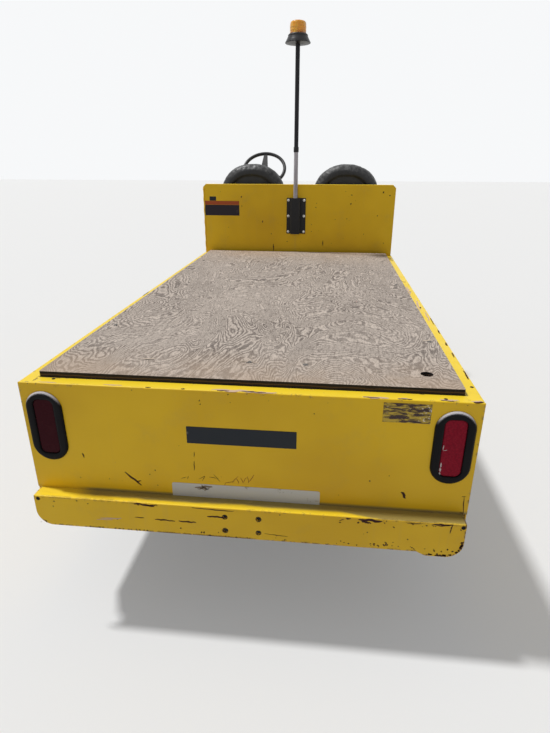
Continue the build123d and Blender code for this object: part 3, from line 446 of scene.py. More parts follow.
def foilFinish(name):  # what a scraper left of a label
    material, tree = newMaterial(name, (0.10, 0.06, 0.02), 0.34, Metallic=0.35)
    place = objectPlace(tree)
    inputs = {"Vector": place, "Rotation": (0.0, 0.42, 0.0), "Scale": (36.0, 36.0, 170.0)}
    lean = addNode(tree, "ShaderNodeMapping", inputs).outputs["Vector"]
    hatch = cloudy(tree, lean, 1.0, 6.0, 0.7, 0.6)
    flecks = cloudy(tree, place, 150.0, 5.0, 0.75)
    tone = blendColour(tree, fade(tree, hatch, 0.45, 0.57), (0.034, 0.014, 0.012), (0.46, 0.32, 0.030))
    right = fade(tree, axisOf(tree, place, 0), 0.38, 0.45, 0.0, 0.07)
    tone = blendColour(tree, fade(tree, plus(tree, flecks, right), 0.64, 0.68), tone, (0.85, 0.80, 0.70))
    return dressed(material, tone, None, hatch, 0.0012, 1.0)


def glassFinish(name):  # headlight glass with upright flutes
    material, tree = newMaterial(name, (0.92, 0.93, 0.93), 0.06, Transmission_Weight=0.85, IOR=1.5)
    inputs = {"Vector": objectPlace(tree), "Scale": 40.0}
    flutes = addNode(tree, "ShaderNodeTexWave", inputs, bands_direction="X").outputs["Fac"]
    return dressed(material, None, None, flutes, 0.0010, 0.8)


finishes = {
    "yellow": yellowPaint("yellowEnamel"),
    "yellowRear": yellowPaint("yellowRear", 0.9, foot=True),
    "yellowSheltered": yellowPaint("yellowSheltered", 0.45, 0.2, 0.12),
    "yellowScuffed": yellowPaint("yellowScuffed", 1.6, 0.3, 0.2, True),
    "ply": deckPly(),
    "chassis": dustyFinish("chassisBlack", (0.016, 0.016, 0.016), 0.62, amount=0.5),
    "rubber": dustyFinish("grommetRubber", (0.007, 0.007, 0.008), 0.40, amount=0.06, grain=500.0,
                          round=0.009, gloss=0.08, sheen=(0.60, 0.58, 0.61)),
    "redLens": lensFinish("redLens", (0.22, 0.004, 0.018), (0.31, 0.009, 0.026), (0.040, 0.001, 0.005), 0.04),
    "vinyl": vinylFinish("blackVinyl"),
    "satinBlack": dustyFinish("satinBlack", (0.012, 0.012, 0.013), 0.40, amount=0.16, relief=0.00012),
    "grip": dustyFinish("wheelGrip", (0.022, 0.022, 0.024), 0.38, amount=0.2, grain=700.0),
    "mast": mastFinish(),
    "beaconBlack": dustyFinish("beaconBlack", (0.008, 0.007, 0.009), 0.36, amount=0.14, gloss=0.35),
    "motor": dustyFinish("motorGrey", (0.045, 0.046, 0.05), 0.5, amount=0.5, Metallic=0.3),
    "battery": dustyFinish("batteryCase", (0.03, 0.03, 0.034), 0.6, amount=0.45),
    "steel": dustyFinish("dustySteel", (0.16, 0.15, 0.14), 0.48, amount=0.45, Metallic=0.75),
    "bright": dustyFinish("zincPlate", (0.62, 0.61, 0.58), 0.32, amount=0.2, Metallic=0.9),
    "rim": dustyFinish("whiteRim", (0.70, 0.69, 0.65), 0.45, amount=0.5, dust=(0.30, 0.26, 0.21)),
    "tyre": tyreFinish(),
    "mat": dustyFinish("stepMat", (0.055, 0.054, 0.052), 0.85, amount=0.55, grain=90.0, relief=0.0012),
    "hole": dustyFinish("darkHole", (0.006, 0.005, 0.005), 0.9, amount=0.1),
    "scar": dustyFinish("bareScar", (0.042, 0.012, 0.010), 0.8, amount=0.2, dust=(0.12, 0.045, 0.02)),
    "paleScar": dustyFinish("paleScar", (0.66, 0.47, 0.33), 0.6, amount=0.15),
    "numberPlate": platePaint("plateBlack", (0.012, 0.016, 0.022), (0.16, 0.15, 0.13), 0.01),
    "sticker": platePaint("stickerWhite", (0.60, 0.60, 0.60), (0.30, 0.27, 0.21), 0.03),
    "foil": foilFinish("scrapedFoil"),
    "redScratch": dustyFinish("redScratch", (0.26, 0.050, 0.008), 0.6, amount=0.1),
    "smear": dustyFinish("labelSmear", (0.22, 0.17, 0.12), 0.7, amount=0.3),
    "tornWood": dustyFinish("tornWood", (0.60, 0.50, 0.40), 0.9, amount=0.2, grain=300.0, relief=0.0008),
    "scuff": dustyFinish("whiteScuff", (0.62, 0.56, 0.54), 0.6, amount=0.1),
    "noticeTop": platePaint("noticeOrange", (0.42, 0.085, 0.022), (0.16, 0.07, 0.04), 0.05),
    "noticeBlack": platePaint("noticeBlack", (0.016, 0.010, 0.016), (0.13, 0.10, 0.09), 0.04),
    "amber": amberFinish("amberLens"),
    "glass": glassFinish("lampGlass"),
}

nodesByFinish = {
    "yellow": ["body_side_left", "body_side_right", "backboard", "front_cowl"],
    "yellowRear": ["rear_panel"],
    "yellowScuffed": ["rear_bumper"],
    "yellowSheltered": ["seat_box", "step_floor", "dash_panel", "grab_bar"],
    "chassis": ["chassis_rails", "cross_members", "deck_bearers", "leaf_springs", "front_axle", "rear_axle",
                "wheel_wells"],
    "ply": ["deck_board"],
    "rubber": ["tail_lamp_grommets"],
    "redLens": ["tail_lamp_lenses"],
    "vinyl": ["seat_cushions", "seat_backs"],
    "satinBlack": ["headlights", "steering_column", "foot_controls", "beacon_bracket"],
    "grip": ["steering_wheel"],
    "mast": ["beacon_pole"],
    "beaconBlack": ["beacon_base"],
    "amber": ["beacon_lens"],
    "motor": ["drive_motor"],
    "battery": ["battery_pack"],
    "steel": ["knuckle_left", "knuckle_right", "tie_rod", "drag_link", "pitman_arm"],
    "rim": ["rim_front_left", "rim_front_right", "rim_rear_left", "rim_rear_right"],
    "tyre": ["tyre_front_left", "tyre_front_right", "tyre_rear_left", "tyre_rear_right"],
}
for finish, names in nodesByFinish.items():
    for nodeName in names:
        node = nodes[nodeName]
        node.data.materials.clear()
        node.data.materials.append(finishes[finish])
print("materials made:", len(finishes))


# Mesh building
def mm(*values):  # places on a face are written in millimetres
    return [value / 1000 for value in values]


def inMetres(points):
    return [(a / 1000, b / 1000) for a, b in points]


def finishPiece(name, bm, finish, body="chassis", sharp=35.0):
    bmesh.ops.remove_doubles(bm, verts=bm.verts, dist=0.000004)
    bmesh.ops.recalc_face_normals(bm, faces=bm.faces)
    mesh = bpy.data.meshes.new(name)
    bm.to_mesh(mesh)
    bm.free()
    mesh.materials.append(finishes[finish])
    mesh.shade_smooth()
    mesh.set_sharp_from_angle(angle=math.radians(sharp))
    piece = bpy.data.objects.new(name, mesh)
    collection.objects.link(piece)
    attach(piece, body)
    return piece


def planeFacingBack(y):  # u to the right, v up, w out towards the rear
    return Matrix(((1, 0, 0, 0), (0, 0, -1, y), (0, 1, 0, 0), (0, 0, 0, 1)))


def planeFacingFront(y):  # u to the left, v up, w out towards the front
    return Matrix(((-1, 0, 0, 0), (0, 0, 1, y), (0, 1, 0, 0), (0, 0, 0, 1)))


def planeFacingRight(x):  # u forward, v up, w out to the right
    return Matrix(((0, 0, 1, x), (1, 0, 0, 0), (0, 1, 0, 0), (0, 0, 0, 1)))


def planeFacingUp(z):
    return Matrix.Translation((0, 0, z))


def slab(bm, place, outline, low, high, bevel=0.0):  # a flat piece, its upper edge turned in by bevel
    rings = []
    centre = Vector((sum(p[0] for p in outline) / len(outline), sum(p[1] for p in outline) / len(outline)))
    layers = [(low, 0.0), (high - bevel, 0.0)] + ([(high, bevel)] if bevel else [])
    for height, inset in layers:
        ring = []
        for u, v in outline:
            away = Vector((u, v)) - centre
            point = centre + away * max(0.0, 1.0 - inset / max(away.length, 0.000001))
            ring.append(bm.verts.new(place @ Vector((point.x, point.y, height))))
        rings.append(ring)
    count = len(outline)
    for lower, upper in zip(rings, rings[1:]):
        for i in range(count):
            j = (i + 1) % count
            bm.faces.new((lower[i], lower[j], upper[j], upper[i]))
    bm.faces.new(rings[-1])
    bm.faces.new(rings[0][::-1])


def roundRect(u0, v0, u1, v1, radius, steps=4):
    points = []
    for cu, cv, start in ((u1 - radius, v0 + radius, -90), (u1 - radius, v1 - radius, 0),
                          (u0 + radius, v1 - radius, 90), (u0 + radius, v0 + radius, 180)):
        for i in range(steps + 1):
            angle = math.radians(start + 90 * i / steps)
            points.append((cu + radius * math.cos(angle), cv + radius * math.sin(angle)))
    return points


def ringOutline(u, v, radius, steps=16):
    return [(u + radius * math.cos(2 * math.pi * i / steps), v + radius * math.sin(2 * math.pi * i / steps))
            for i in range(steps)]


def ribbon(bm, place, points, width, lift=0.0004):  # a tapered, slightly ragged stroke on a surface
    left, right = [], []
    last = len(points) - 1
    for i, (u, v) in enumerate(points):
        before = Vector(points[max(0, i - 1)])
        after = Vector(points[min(last, i + 1)])
        along = (after - before).normalized()
        across = Vector((-along.y, along.x))
        share = 0.25 + 0.75 * math.sin(math.pi * (i + 0.35) / (last + 0.7))
        half = 0.5 * width * share * draws.uniform(0.75, 1.25)
        left.append(Vector((u, v)) + across * half)
        right.append(Vector((u, v)) - across * half)
    outline = [tuple(p) for p in left] + [tuple(p) for p in reversed(right)]
    slab(bm, place, outline, 0.0, lift)


def jagged(start, end, steps, wander):
    a, b = Vector(start), Vector(end)
    across = (b - a).orthogonal().normalized()
    return [tuple(a.lerp(b, i / steps) + across * draws.uniform(-wander, wander)) for i in range(steps + 1)]


def blot(bm, place, u, v, size, lift=0.0004):  # a chip with an uneven outline
    turn = draws.uniform(0, math.pi)
    long = draws.uniform(1.0, 1.9)
    outline = []
    for i in range(9):
        angle = 2 * math.pi * i / 9
        reach = 0.5 * size * draws.uniform(0.6, 1.15)
        a, b = reach * math.cos(angle) * long, reach * math.sin(angle)
        across = a * math.cos(turn) - b * math.sin(turn)
        outline.append((u + across, v + a * math.sin(turn) + b * math.cos(turn)))
    slab(bm, place, outline, 0.0, lift)


def lathe(bm, place, profile, steps=32, closed=False):  # profile of (radius, height) about the local Z axis
    rings = []
    for i in range(steps):
        angle = 2 * math.pi * i / steps
        across = Vector((math.cos(angle), math.sin(angle), 0))
        rings.append([bm.verts.new(place @ (across * r + Vector((0, 0, h)))) for r, h in profile])
    count = len(profile)
    for i in range(steps):
        a, b = rings[i], rings[(i + 1) % steps]
        for j in range(count if closed else count - 1):
            k = (j + 1) % count
            bm.faces.new((a[j], b[j], b[k], a[k]))
    for end in (0, -1):
        if not closed and profile[end][0] > 0:
            bm.faces.new([ring[end] for ring in rings])


def turnedPiece(name, place, profile, steps, finish, body="chassis", closed=False):  # in millimetres
    bm = bmesh.new()
    lathe(bm, place, inMetres(profile), steps, closed)
    return finishPiece(name, bm, finish, body)


def tube(bm, points, radius, sides=10, closed=False):
    points = [Vector(p) for p in points]
    count = len(points)
    rings = []
    side = None
    for i, point in enumerate(points):
        before = points[i - 1] if (i or closed) else points[i]
        after = points[(i + 1) % count] if (i < count - 1 or closed) else points[i]
        along = (after - before).normalized()
        side = along.orthogonal() if side is None else side - along * side.dot(along)
        side.normalize()
        up = along.cross(side)
        angles = [2 * math.pi * k / sides for k in range(sides)]
        rings.append([bm.verts.new(point + (side * math.cos(a) + up * math.sin(a)) * radius) for a in angles])
    for i in range(count if closed else count - 1):
        a, b = rings[i], rings[(i + 1) % count]
        for k in range(sides):
            m = (k + 1) % sides
            bm.faces.new((a[k], a[m], b[m], b[k]))
    if not closed:
        bm.faces.new(rings[0][::-1])
        bm.faces.new(rings[-1])


def boxPiece(bm, place, low, high, bevel):
    size = Vector(high) - Vector(low)
    middle = (Vector(high) + Vector(low)) / 2
    spot = place @ Matrix.Translation(middle) @ Matrix.Diagonal((*size, 1))
    made = bmesh.ops.create_cube(bm, size=1.0, matrix=spot)
    edges = {edge for vert in made["verts"] for edge in vert.link_edges}
    bmesh.ops.bevel(bm, geom=list(edges), offset=bevel, segments=2, affect="EDGES")


def screwHead(bm, place, u, v, radius, height):  # domed head with a washer and a round recess in the top
    shares = [(1.5, 0), (1.5, 0.2), (1.0, 0.22), (0.95, 0.6), (0.7, 0.92), (0.28, 1.0), (0.22, 0.5), (0, 0.5)]
    spot = place @ Matrix.Translation((u, v, 0))
    lathe(bm, spot, [(radius * across, height * up) for across, up in shares], 20)


def hexBolt(bm, place, u, v, radius, height):
    spot = place @ Matrix.Translation((u, v, 0))
    for shares, sides in (([(1.45, 0), (1.45, 0.18), (1.1, 0.2)], 24),
                          ([(1.15, 0.18), (1.15, 0.86), (0.95, 1.0), (0, 1.0)], 6)):
        lathe(bm, spot, [(radius * across, height * up) for across, up in shares], sides)


def scratches(bm, place, marks, steps, wander, lift=0.0004):  # each with start, end and width in millimetres
    for mark in marks:
        u0, v0, u1, v1, width = mm(*mark)
        ribbon(bm, place, jagged((u0, v0), (u1, v1), steps, width * wander), width, lift)


draws = random.Random(41)

# Blank plates, stickers and scraped foil on the rear panel, and the blank notice on the backboard
rearFace = planeFacingBack(station(0.0))
backFace = planeFacingBack(station(2.048))
flatPlates = {  # corners and corner radius in millimetres
    "numberPlate": ((-143, 579, 136, 627), 1.5, rearFace, "numberPlate"),
    "blankSticker": ((-192, 409, 199, 457), 6, rearFace, "sticker"),
    "foilPatch": ((340, 668, 452, 719), 1, rearFace, "foil"),
    "noticeField": ((-561, 949, -351, 1010), 2, backFace, "noticeBlack"),
    "noticeStrip": ((-561, 1011, -351, 1033), 2, backFace, "noticeTop"),
    "noticeSmall": ((-531, 1034, -491, 1058), 2, backFace, "numberPlate"),
}
for name, (corners, corner, face, finish) in flatPlates.items():
    bm = bmesh.new()
    slab(bm, face, roundRect(*mm(*corners, corner)), 0.0, 0.0007, 0.0003)
    finishPiece(name, bm, finish)

# Marks in the sheets, each at its own place in millimetres: start, end and width, or a place and a size
panelMarks = {
    "strokes": [(-318, 480, -277, 440, 5.2), (-290, 452, -276, 455, 3.4), (-126, 554, -127, 538, 1.6),
                (-128, 526, -129, 498, 2.1), (-428, 530, -426, 516, 3.4), (404, 472, 415, 453, 6.6),
                (557, 469, 562, 418, 2.2), (552, 469, 562, 470, 1.4), (554, 421, 563, 420, 2.4),
                (-236, 492, -234, 489, 2.6)],
    "faint": [(-165, 470, -152, 476, 1.2), (-149, 470, -146, 479, 1.1), (-118, 472, -101, 482, 1.1),
              (-101, 482, -110, 466, 1), (-90, 480, -66, 478, 1.1), (-78, 489, -62, 468, 1)],
    "red": [(-52, 452, -47, 466, 1.2), (-47, 466, -24, 470, 1.2), (-30, 468, -13, 487, 1.4),
            (-18, 480, -12, 466, 1.4), (-7, 484, -1, 469, 1.4), (-1, 469, 8, 486, 1.2),
            (10, 489, 14, 470, 1.3), (13, 470, 29, 495, 1.6)],
    "nicks": 26,
}
bumperMarks = {
    "strokes": [(-285, 412, -231, 408, 6.2), (-250, 409, -222, 412, 3.6), (-232, 366, -178, 365, 4),
                (-168, 366, -121, 365, 4.4), (-130, 411, -20, 409, 2.6), (-90, 388, -45, 387, 5.2),
                (298, 411, 357, 409, 8), (306, 406, 330, 402, 5), (478, 410, 530, 413, 5),
                (496, 407, 520, 412, 2.6), (418, 409, 452, 411, 1.8), (528, 412, 524, 388, 3),
                (250, 402, 262, 409, 2), (-287, 368, -262, 368, 2.4), (60, 345, 120, 341, 1.4),
                (370, 334, 373, 345, 3)],
    "pale": [(-384, 357, -325, 361, 4.2), (-395, 352, -350, 354, 2.2)],
    "holes": [(-551, 407), (555, 407)],
    "corner": (518.5, 357, 39, 30),
    "rings": [(-44, 389), (44, 389), (-44, 346), (44, 346)],
    "lowerEdge": [(-420, -250, 326.8, 26), (-90, 30, 326.8, 12), (470, 520, 316, 12)],  # ends, level, chips
    "cornerEdge": (518.5, 357, 41.2, 22),  # along, level, reach and number of chips
    "nicks": 70,
}
boardMarks = {
    "spots": [(-337, 1056, 7), (-335, 1005, 5), (-210, 916, 9), (314, 1023, 9), (317, 1072, 6),
              (497, 1088, 7), (536, 1072, 5), (473, 957, 7), (295, 938, 4), (226, 934, 4), (87, 901, 4),
              (-157, 844, 5), (109, 1001, 5), (87, 862, 4), (400, 850, 5), (-420, 880, 4), (520, 800, 5),
              (-60, 800, 4)],
    "drips": [(-143, 785, -143, 741, 6), (158, 809, 159, 778, 4.5)],
    "nicks": 24,
    "drilled": [(499, 1090), (536, 1071)],
}
deckMarks = {
    "holes": [(562, 92), (-556, 736), (484, 14), (-491, 29), (553, 1100), (-553, 1460), (560, 1860)],
    "screws": [(509, 386), (-495, 450), (500, 1165), (-500, 1165), (490, 1730), (-490, 1660), (-4, 160),
               (147, 158)],
    "splits": [(492, 392, 520, 402, 8), (-500, 462, -482, 440, 4), (-300, 150, -262, 156, 6),
               (-30, 166, 20, 158, 4), (320, 130, 350, 136, 3)],
}
rearLipMarks = {  # worn through to primer, with dark nicks beside it
    "pale": [(-75, 6, 30, 8, 11), (0, 5, 85, 6, 9), (290, 6, 352, 7, 9), (372, 6, 402, 5, 6),
             (470, 12, 512, 8, 7), (-350, 9, -300, 8, 5), (-520, 7, -470, 6, 4), (540, 6, 566, 10, 7)],
    "dark": [(-60, 3.5, -30, 4, 4), (20, 3.5, 60, 3, 5), (292, 5, 330, 3.5, 4), (372, 3, 405, 4, 4),
             (470, 5, 500, 3, 3), (-240, 3, -226, 3, 3), (-150, 4, -140, 3.5, 4), (545, 3.5, 567, 6, 8)],
}
sideLipMarks = {
    "pale": [(546, 1050, 552, 1200, 9), (548, 800, 556, 950, 8), (558, 660, 562, 780, 6),
             (-552, 1400, -556, 1620, 5)],
    "dark": [(539, 1302, 560, 1296, 6), (566, 620, 568, 700, 3), (566, 520, 567, 560, 4),
             (565, 400, 567, 430, 5), (565, 300, 567, 340, 4), (566, 140, 567, 200, 4),
             (553, 830, 557, 850, 5), (-567, 900, -566, 980, 3)],
}
smearMarks = [(-131, 447, -83, 450, 6), (-112, 454, -100, 439, 5), (-124, 441, -94, 443, 4),
              (-105, 436, -92, 446, 3)]
scuffMarks = [(488.5, 566, 489, 553, 3.4), (488, 551, 489.2, 541, 4.4), (488.5, 539, 489.5, 531, 3.6),
              (489.5, 615, 488.5, 602, 1.8), (490, 600, 499, 602, 1.6)]

scars = bmesh.new()
pale = bmesh.new()
scratches(scars, rearFace, panelMarks["strokes"], 5, 0.3)
scratches(scars, rearFace, panelMarks["faint"], 3, 0.5)
red = bmesh.new()
scratches(red, rearFace, panelMarks["red"], 3, 0.6)
finishPiece("redScratches", red, "redScratch")
for i in range(panelMarks["nicks"]):  # more near the panel's edges
    u = draws.uniform(-0.55, 0.55)
    v = draws.choice((draws.uniform(0.425, 0.50), draws.uniform(0.50, 0.70), draws.uniform(0.700, 0.722)))
    blot(scars, rearFace, u, v, draws.uniform(0.0012, 0.0034))

bumperFace = planeFacingBack(station(-0.042))
scratches(scars, bumperFace, bumperMarks["strokes"], 7, 0.3)
scratches(pale, bumperFace, bumperMarks["pale"], 6, 0.3)
for i in range(bumperMarks["nicks"]):  # more towards the right
    near = draws.random()
    u = draws.uniform(-0.56, 0.56) if near < 0.45 else draws.uniform(0.24, 0.55)
    v = draws.choice((draws.uniform(0.330, 0.405), draws.uniform(0.400, 0.412), draws.uniform(0.328, 0.338)))
    blot(scars, bumperFace, u, v, draws.uniform(0.0012, 0.0048))
*place, count = bumperMarks["corner"]
along, level, reach = mm(*place)
for i in range(count):  # paint broken away around the lower right corner
    turn = math.radians(draws.uniform(-150, 15))
    u = along + reach * math.cos(turn) if turn > -math.pi / 2 else along - draws.uniform(0.0, 0.045)
    v = level + reach * math.sin(turn) if turn > -math.pi / 2 else level - reach
    blot(scars, bumperFace, u, v, draws.uniform(0.0025, 0.0060))

for mark in boardMarks["spots"]:
    blot(scars, backFace, *mm(*mark))
scratches(scars, backFace, boardMarks["drips"], 5, 0.2)
for i in range(boardMarks["nicks"]):
    blot(scars, backFace, draws.uniform(-0.55, 0.55), draws.uniform(0.76, 1.11), draws.uniform(0.001, 0.003))

chipped = []
for start, end, level, count in bumperMarks["lowerEdge"]:
    chipped += [mm(draws.uniform(start, end), level) for i in range(count)]
*place, count = bumperMarks["cornerEdge"]
along, level, reach = mm(*place)
for i in range(count):
    angle = math.radians(draws.uniform(-90, 0))
    chipped.append((along + reach * math.cos(angle), level + reach * math.sin(angle)))
for u, v in chipped:
    blot(scars, bumperFace, u, v, draws.uniform(0.0018, 0.0040))
finishPiece("paintScars", scars, "scar")

lipFace = Matrix.Translation((0, station(0.0), 0.728))
nicks = bmesh.new()
for marks in (rearLipMarks, sideLipMarks):
    scratches(pale, lipFace, marks["pale"], 9, 0.3)
    scratches(nicks, lipFace, marks["dark"], 5, 0.25, 0.0007)
finishPiece("paleScars", pale, "paleScar")
finishPiece("lipNicks", nicks, "scar")

holes = bmesh.new()
for face, places, radius in ((bumperFace, bumperMarks["holes"], 0.0055),
                             (lipFace, deckMarks["holes"], 0.0046),
                             (backFace, boardMarks["drilled"], 0.0035)):
    for place in places:
        slab(holes, face, ringOutline(*mm(*place), radius), 0.0, 0.0004)
rimProfile = inMetres([(5.6, 0), (5.6, 0.3), (7.4, 0.3), (7.4, 0)])
for u, v in bumperMarks["rings"]:  # bare rims of the four hitch holes
    lathe(holes, bumperFace @ Matrix.Translation((*mm(u, v), 0)), rimProfile, 24, True)
finishPiece("drilledHoles", holes, "hole")

deckTop = Matrix.Translation((0, station(0.0), 0.744))
bm = bmesh.new()
for place in deckMarks["screws"]:
    screwHead(bm, deckTop, *mm(*place), 0.0052, 0.0016)
finishPiece("deckScrews", bm, "steel")
splits = bmesh.new()
torn = bmesh.new()
for u, s, u1, s1, width in deckMarks["splits"]:
    scratches(torn, deckTop, [(u, s, u1, s1, width)], 5, 0.5, 0.0005)
    scratches(splits, deckTop, [(u + 4, s - 6, u1 - 4, s1 - 6, width * 0.6)], 5, 0.5)
finishPiece("deckSplits", splits, "hole")
finishPiece("deckTornWood", torn, "tornWood")

# Smear on the blank sticker, white scuffs on the right lamp, and the bent left edge of the backboard
bm = bmesh.new()
scratches(bm, planeFacingBack(station(-0.0007)), smearMarks, 5, 0.5, 0.0003)
finishPiece("stickerSmear", bm, "smear")
bm = bmesh.new()
scratches(bm, planeFacingBack(station(-0.004)), scuffMarks, 5, 0.3, 0.0003)
finishPiece("lensScuffs", bm, "scuff")
edgeLook = {"x": -0.5640, "y": station(2.0478), "low": 0.752, "height": 0.352, "steps": 28, "radius": 0.0042}
bm = bmesh.new()
points = []
for i in range(edgeLook["steps"] + 1):  # a little wavy, as bent sheet is
    z = edgeLook["low"] + edgeLook["height"] * i / edgeLook["steps"]
    sway = (0.0012 * math.sin(z * 95.0), 0.0008 * math.sin(z * 61.0))
    points.append((edgeLook["x"] + sway[0], edgeLook["y"] + sway[1], z))
tube(bm, points, edgeLook["radius"], 10)
finishPiece("backboardEdge", bm, "yellow")
print("plates and marks made")

# Bracket screws and pole coupling of the beacon mast
mastLook = {"x": -0.012, "s": 2.032, "screwX": 0.047, "screwZ": (0.860, 0.951, 1.041)}
bracketFace = planeFacingBack(station(2.045))
bm = bmesh.new()
for side in (-1, 1):
    for z in mastLook["screwZ"]:
        screwHead(bm, bracketFace, -0.0075 + side * mastLook["screwX"], z, 0.0048, 0.0035)
finishPiece("bracketScrews", bm, "bright")
mastPlace = Matrix.Translation((mastLook["x"], station(mastLook["s"]), 0))
couplingProfile = [(12, 1302), (14, 1303), (14.6, 1305), (14.6, 1327), (14, 1329), (12, 1330)]
turnedPiece("mastCoupling", mastPlace, couplingProfile, 28, "satinBlack")

# Black channel behind the bumper's four hitch holes: it stiffens the bumper, and its dark sheet is painted
# shade seen through the holes
holeShadeLook = {"half": 0.085, "low": 0.290, "high": 0.404, "sideLow": 0.332, "back": -0.0385, "front": 0.016,
             "sheet": 0.004, "bevel": 0.0006}


def holeShadeChannel(look):
    bm = bmesh.new()
    half, sheet, high = look["half"], look["sheet"], look["high"]
    front = station(look["front"])
    boxPiece(bm, Matrix(), (-half, front - sheet, look["low"]), (half, front, high), look["bevel"])
    for side in (-1, 1):
        near, far = sorted((side * half, side * (half - sheet)))
        foot = (near, station(look["back"]), look["sideLow"])
        boxPiece(bm, Matrix(), foot, (far, front - sheet - 0.0002, high), look["bevel"])
    finishPiece("holeShadeChannel", bm, "chassis")


holeShadeChannel(holeShadeLook)

# Sheets that close the seat box's ends above the sloping edge of the side panels
boxEndLook = {
    "outline": [(2052, 680), (2630, 628), (2668, 362), (2696.5, 362), (2696.5, 686.8), (2052, 686.8)],
    "outside": 0.5682,
    "sheet": 0.002,
}
for side, hand in ((-1, "Left"), (1, "Right")):
    bm = bmesh.new()
    base = side * boxEndLook["outside"] - (boxEndLook["sheet"] if side > 0 else 0.0)
    outline = [(station(s), z) for s, z in inMetres(boxEndLook["outline"])]
    slab(bm, planeFacingRight(base), outline, 0.0, boxEndLook["sheet"])
    finishPiece("seatBoxEnd" + hand, bm, "yellowSheltered")

# Beacon lens: fluted amber dome over a dark base with rings; the profile is in shares of radius and height
beaconLook = {
    "low": 1.877, "top": 1.938, "radius": 0.0444, "flutes": 30, "fluteDepth": 0.016,
    "profile": [(1.0, 0.0), (1.0, 0.05), (0.965, 0.08), (0.965, 0.22), (0.985, 0.25), (0.965, 0.28),
                (0.965, 0.47), (0.985, 0.50), (0.965, 0.53), (0.955, 0.74), (0.90, 0.87), (0.76, 0.945),
                (0.5, 0.985), (0.2, 1.0), (0.0, 1.0)],
    "rings": [[(64, 1835), (66.8, 1835.2), (67.6, 1836.2), (67.6, 1838.6), (66.5, 1840.4), (62, 1842.4),
               (56, 1843.2)],
              [(65.5, 1839.6), (64, 1844), (60.5, 1850.5), (56, 1859), (53.4, 1865), (51.2, 1865.2),
               (51.2, 1839.6)],
              [(50, 1864), (52.3, 1864.5), (52.8, 1866), (52.8, 1871.5), (51.5, 1873.5), (48.8, 1875.2),
               (47, 1876.6), (45.2, 1876.8), (45.2, 1870)]],
}


def beaconLens(look):
    bm = bmesh.new()
    steps = look["flutes"] * 4
    rise = look["top"] - look["low"]
    rings = []
    for i in range(steps):
        angle = 2 * math.pi * i / steps
        flute = look["fluteDepth"] * (0.5 + 0.5 * math.cos(angle * look["flutes"]))
        ring = []
        for share, height in look["profile"]:
            r = look["radius"] * (share - (flute if 0.06 < height < 0.8 else 0.0))
            point = Vector((r * math.cos(angle), r * math.sin(angle), look["low"] + rise * height))
            ring.append(bm.verts.new(mastPlace @ point))
        rings.append(ring)
    for a, b in zip(rings, rings[1:] + rings[:1]):
        for j in range(len(a) - 1):
            bm.faces.new((a[j], b[j], b[j + 1], a[j + 1]))
    bm.faces.new([ring[0] for ring in rings][::-1])
    return finishPiece("beaconDome", bm, "amber", sharp=50)


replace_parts(beaconLens(beaconLook), "beacon_lens")
bm = bmesh.new()
for profile in beaconLook["rings"]:
    lathe(bm, mastPlace, inMetres(profile), 72, closed=True)
finishPiece("beaconRings", bm, "beaconBlack")
print("mast and beacon made")

# Wheels: tyres with block tread, wheel nuts, hub cap and valve; the profiles are in millimetres
wheelLook = {
    "x": 0.443, "z": 0.2325, "rear": station(0.830), "front": station(2.400),
    "floor": 0.2245, "crown": 0.2323, "blocks": 46,
    "rows": [(-0.060, -0.041), (-0.037, -0.015), (-0.011, 0.011), (0.015, 0.037), (0.041, 0.060)],
    "outerShare": 0.80, "innerShare": 0.86, "lean": 0.18, "outerDrop": 0.0035,
    "sidewall": [(102, 45.5), (114.2, 49.5), (116.5, 53), (124, 57), (133, 61.5), (134.5, 63.2),
                 (137.5, 63.4), (139, 64.2), (152, 67.2), (153.5, 68.2), (160, 68.3), (161.5, 67.6),
                 (176, 67.6), (177.5, 68.4), (180, 68.4), (181.5, 67.4), (196, 66.2), (208.5, 64),
                 (218.5, 60.8), (223, 57.5), (224.5, 54), (224.5, 20)],
    "lug": [(230, 59.5), (221, 64), (206, 65.5), (204, 64)], "lugShares": (0.08, 0.62),
    "nutCircle": 0.057, "nuts": 5, "holeCircle": 0.0775, "holes": 4, "holeHalf": (0.0062, 0.0125),
    "cap": [(33, 4), (33, 34), (31.5, 36), (29, 36.5), (28.5, 44), (26, 47.5), (15, 49), (0, 49.2)],
    "valve": [(5.5, 0), (5, 10), (3.2, 14), (3.2, 26), (4, 27), (4, 36), (3, 38), (0, 38)],
}


def wheelPlace(side, y):
    turn = Matrix.Rotation(side * math.pi / 2, 4, "Y")
    return Matrix.Translation((side * wheelLook["x"], y, wheelLook["z"])) @ turn


def onCircle(r, angle, height):
    return Vector((r * math.cos(angle), r * math.sin(angle), height))


def treadRow(bm, place, look, row):
    count = look["blocks"]
    outer = row in (0, len(look["rows"]) - 1)
    share = look["outerShare"] if outer else look["innerShare"]
    lean = 0.0 if outer else look["lean"] * (1 if row % 2 else -1)
    x0, x1 = look["rows"][row]
    for i in range(count):
        start = (i + 0.5 * (row % 2)) / count
        top, bottom = [], []
        for u, x in ((0.0, x0), (share, x0), (share, x1), (0.0, x1)):
            angle = 2 * math.pi * (start + (u + (lean if x == x1 else 0.0)) / count)
            drop = look["outerDrop"] if outer and abs(x) > 0.05 else 0.0
            bottom.append(bm.verts.new(place @ onCircle(look["floor"] - 0.001, angle, x)))
            top.append(bm.verts.new(place @ onCircle(look["crown"] - drop, angle, x)))
        bm.faces.new(top)
        bm.faces.new(bottom[::-1])
        for a in range(4):
            b = (a + 1) % 4
            bm.faces.new((bottom[a], bottom[b], top[b], top[a]))


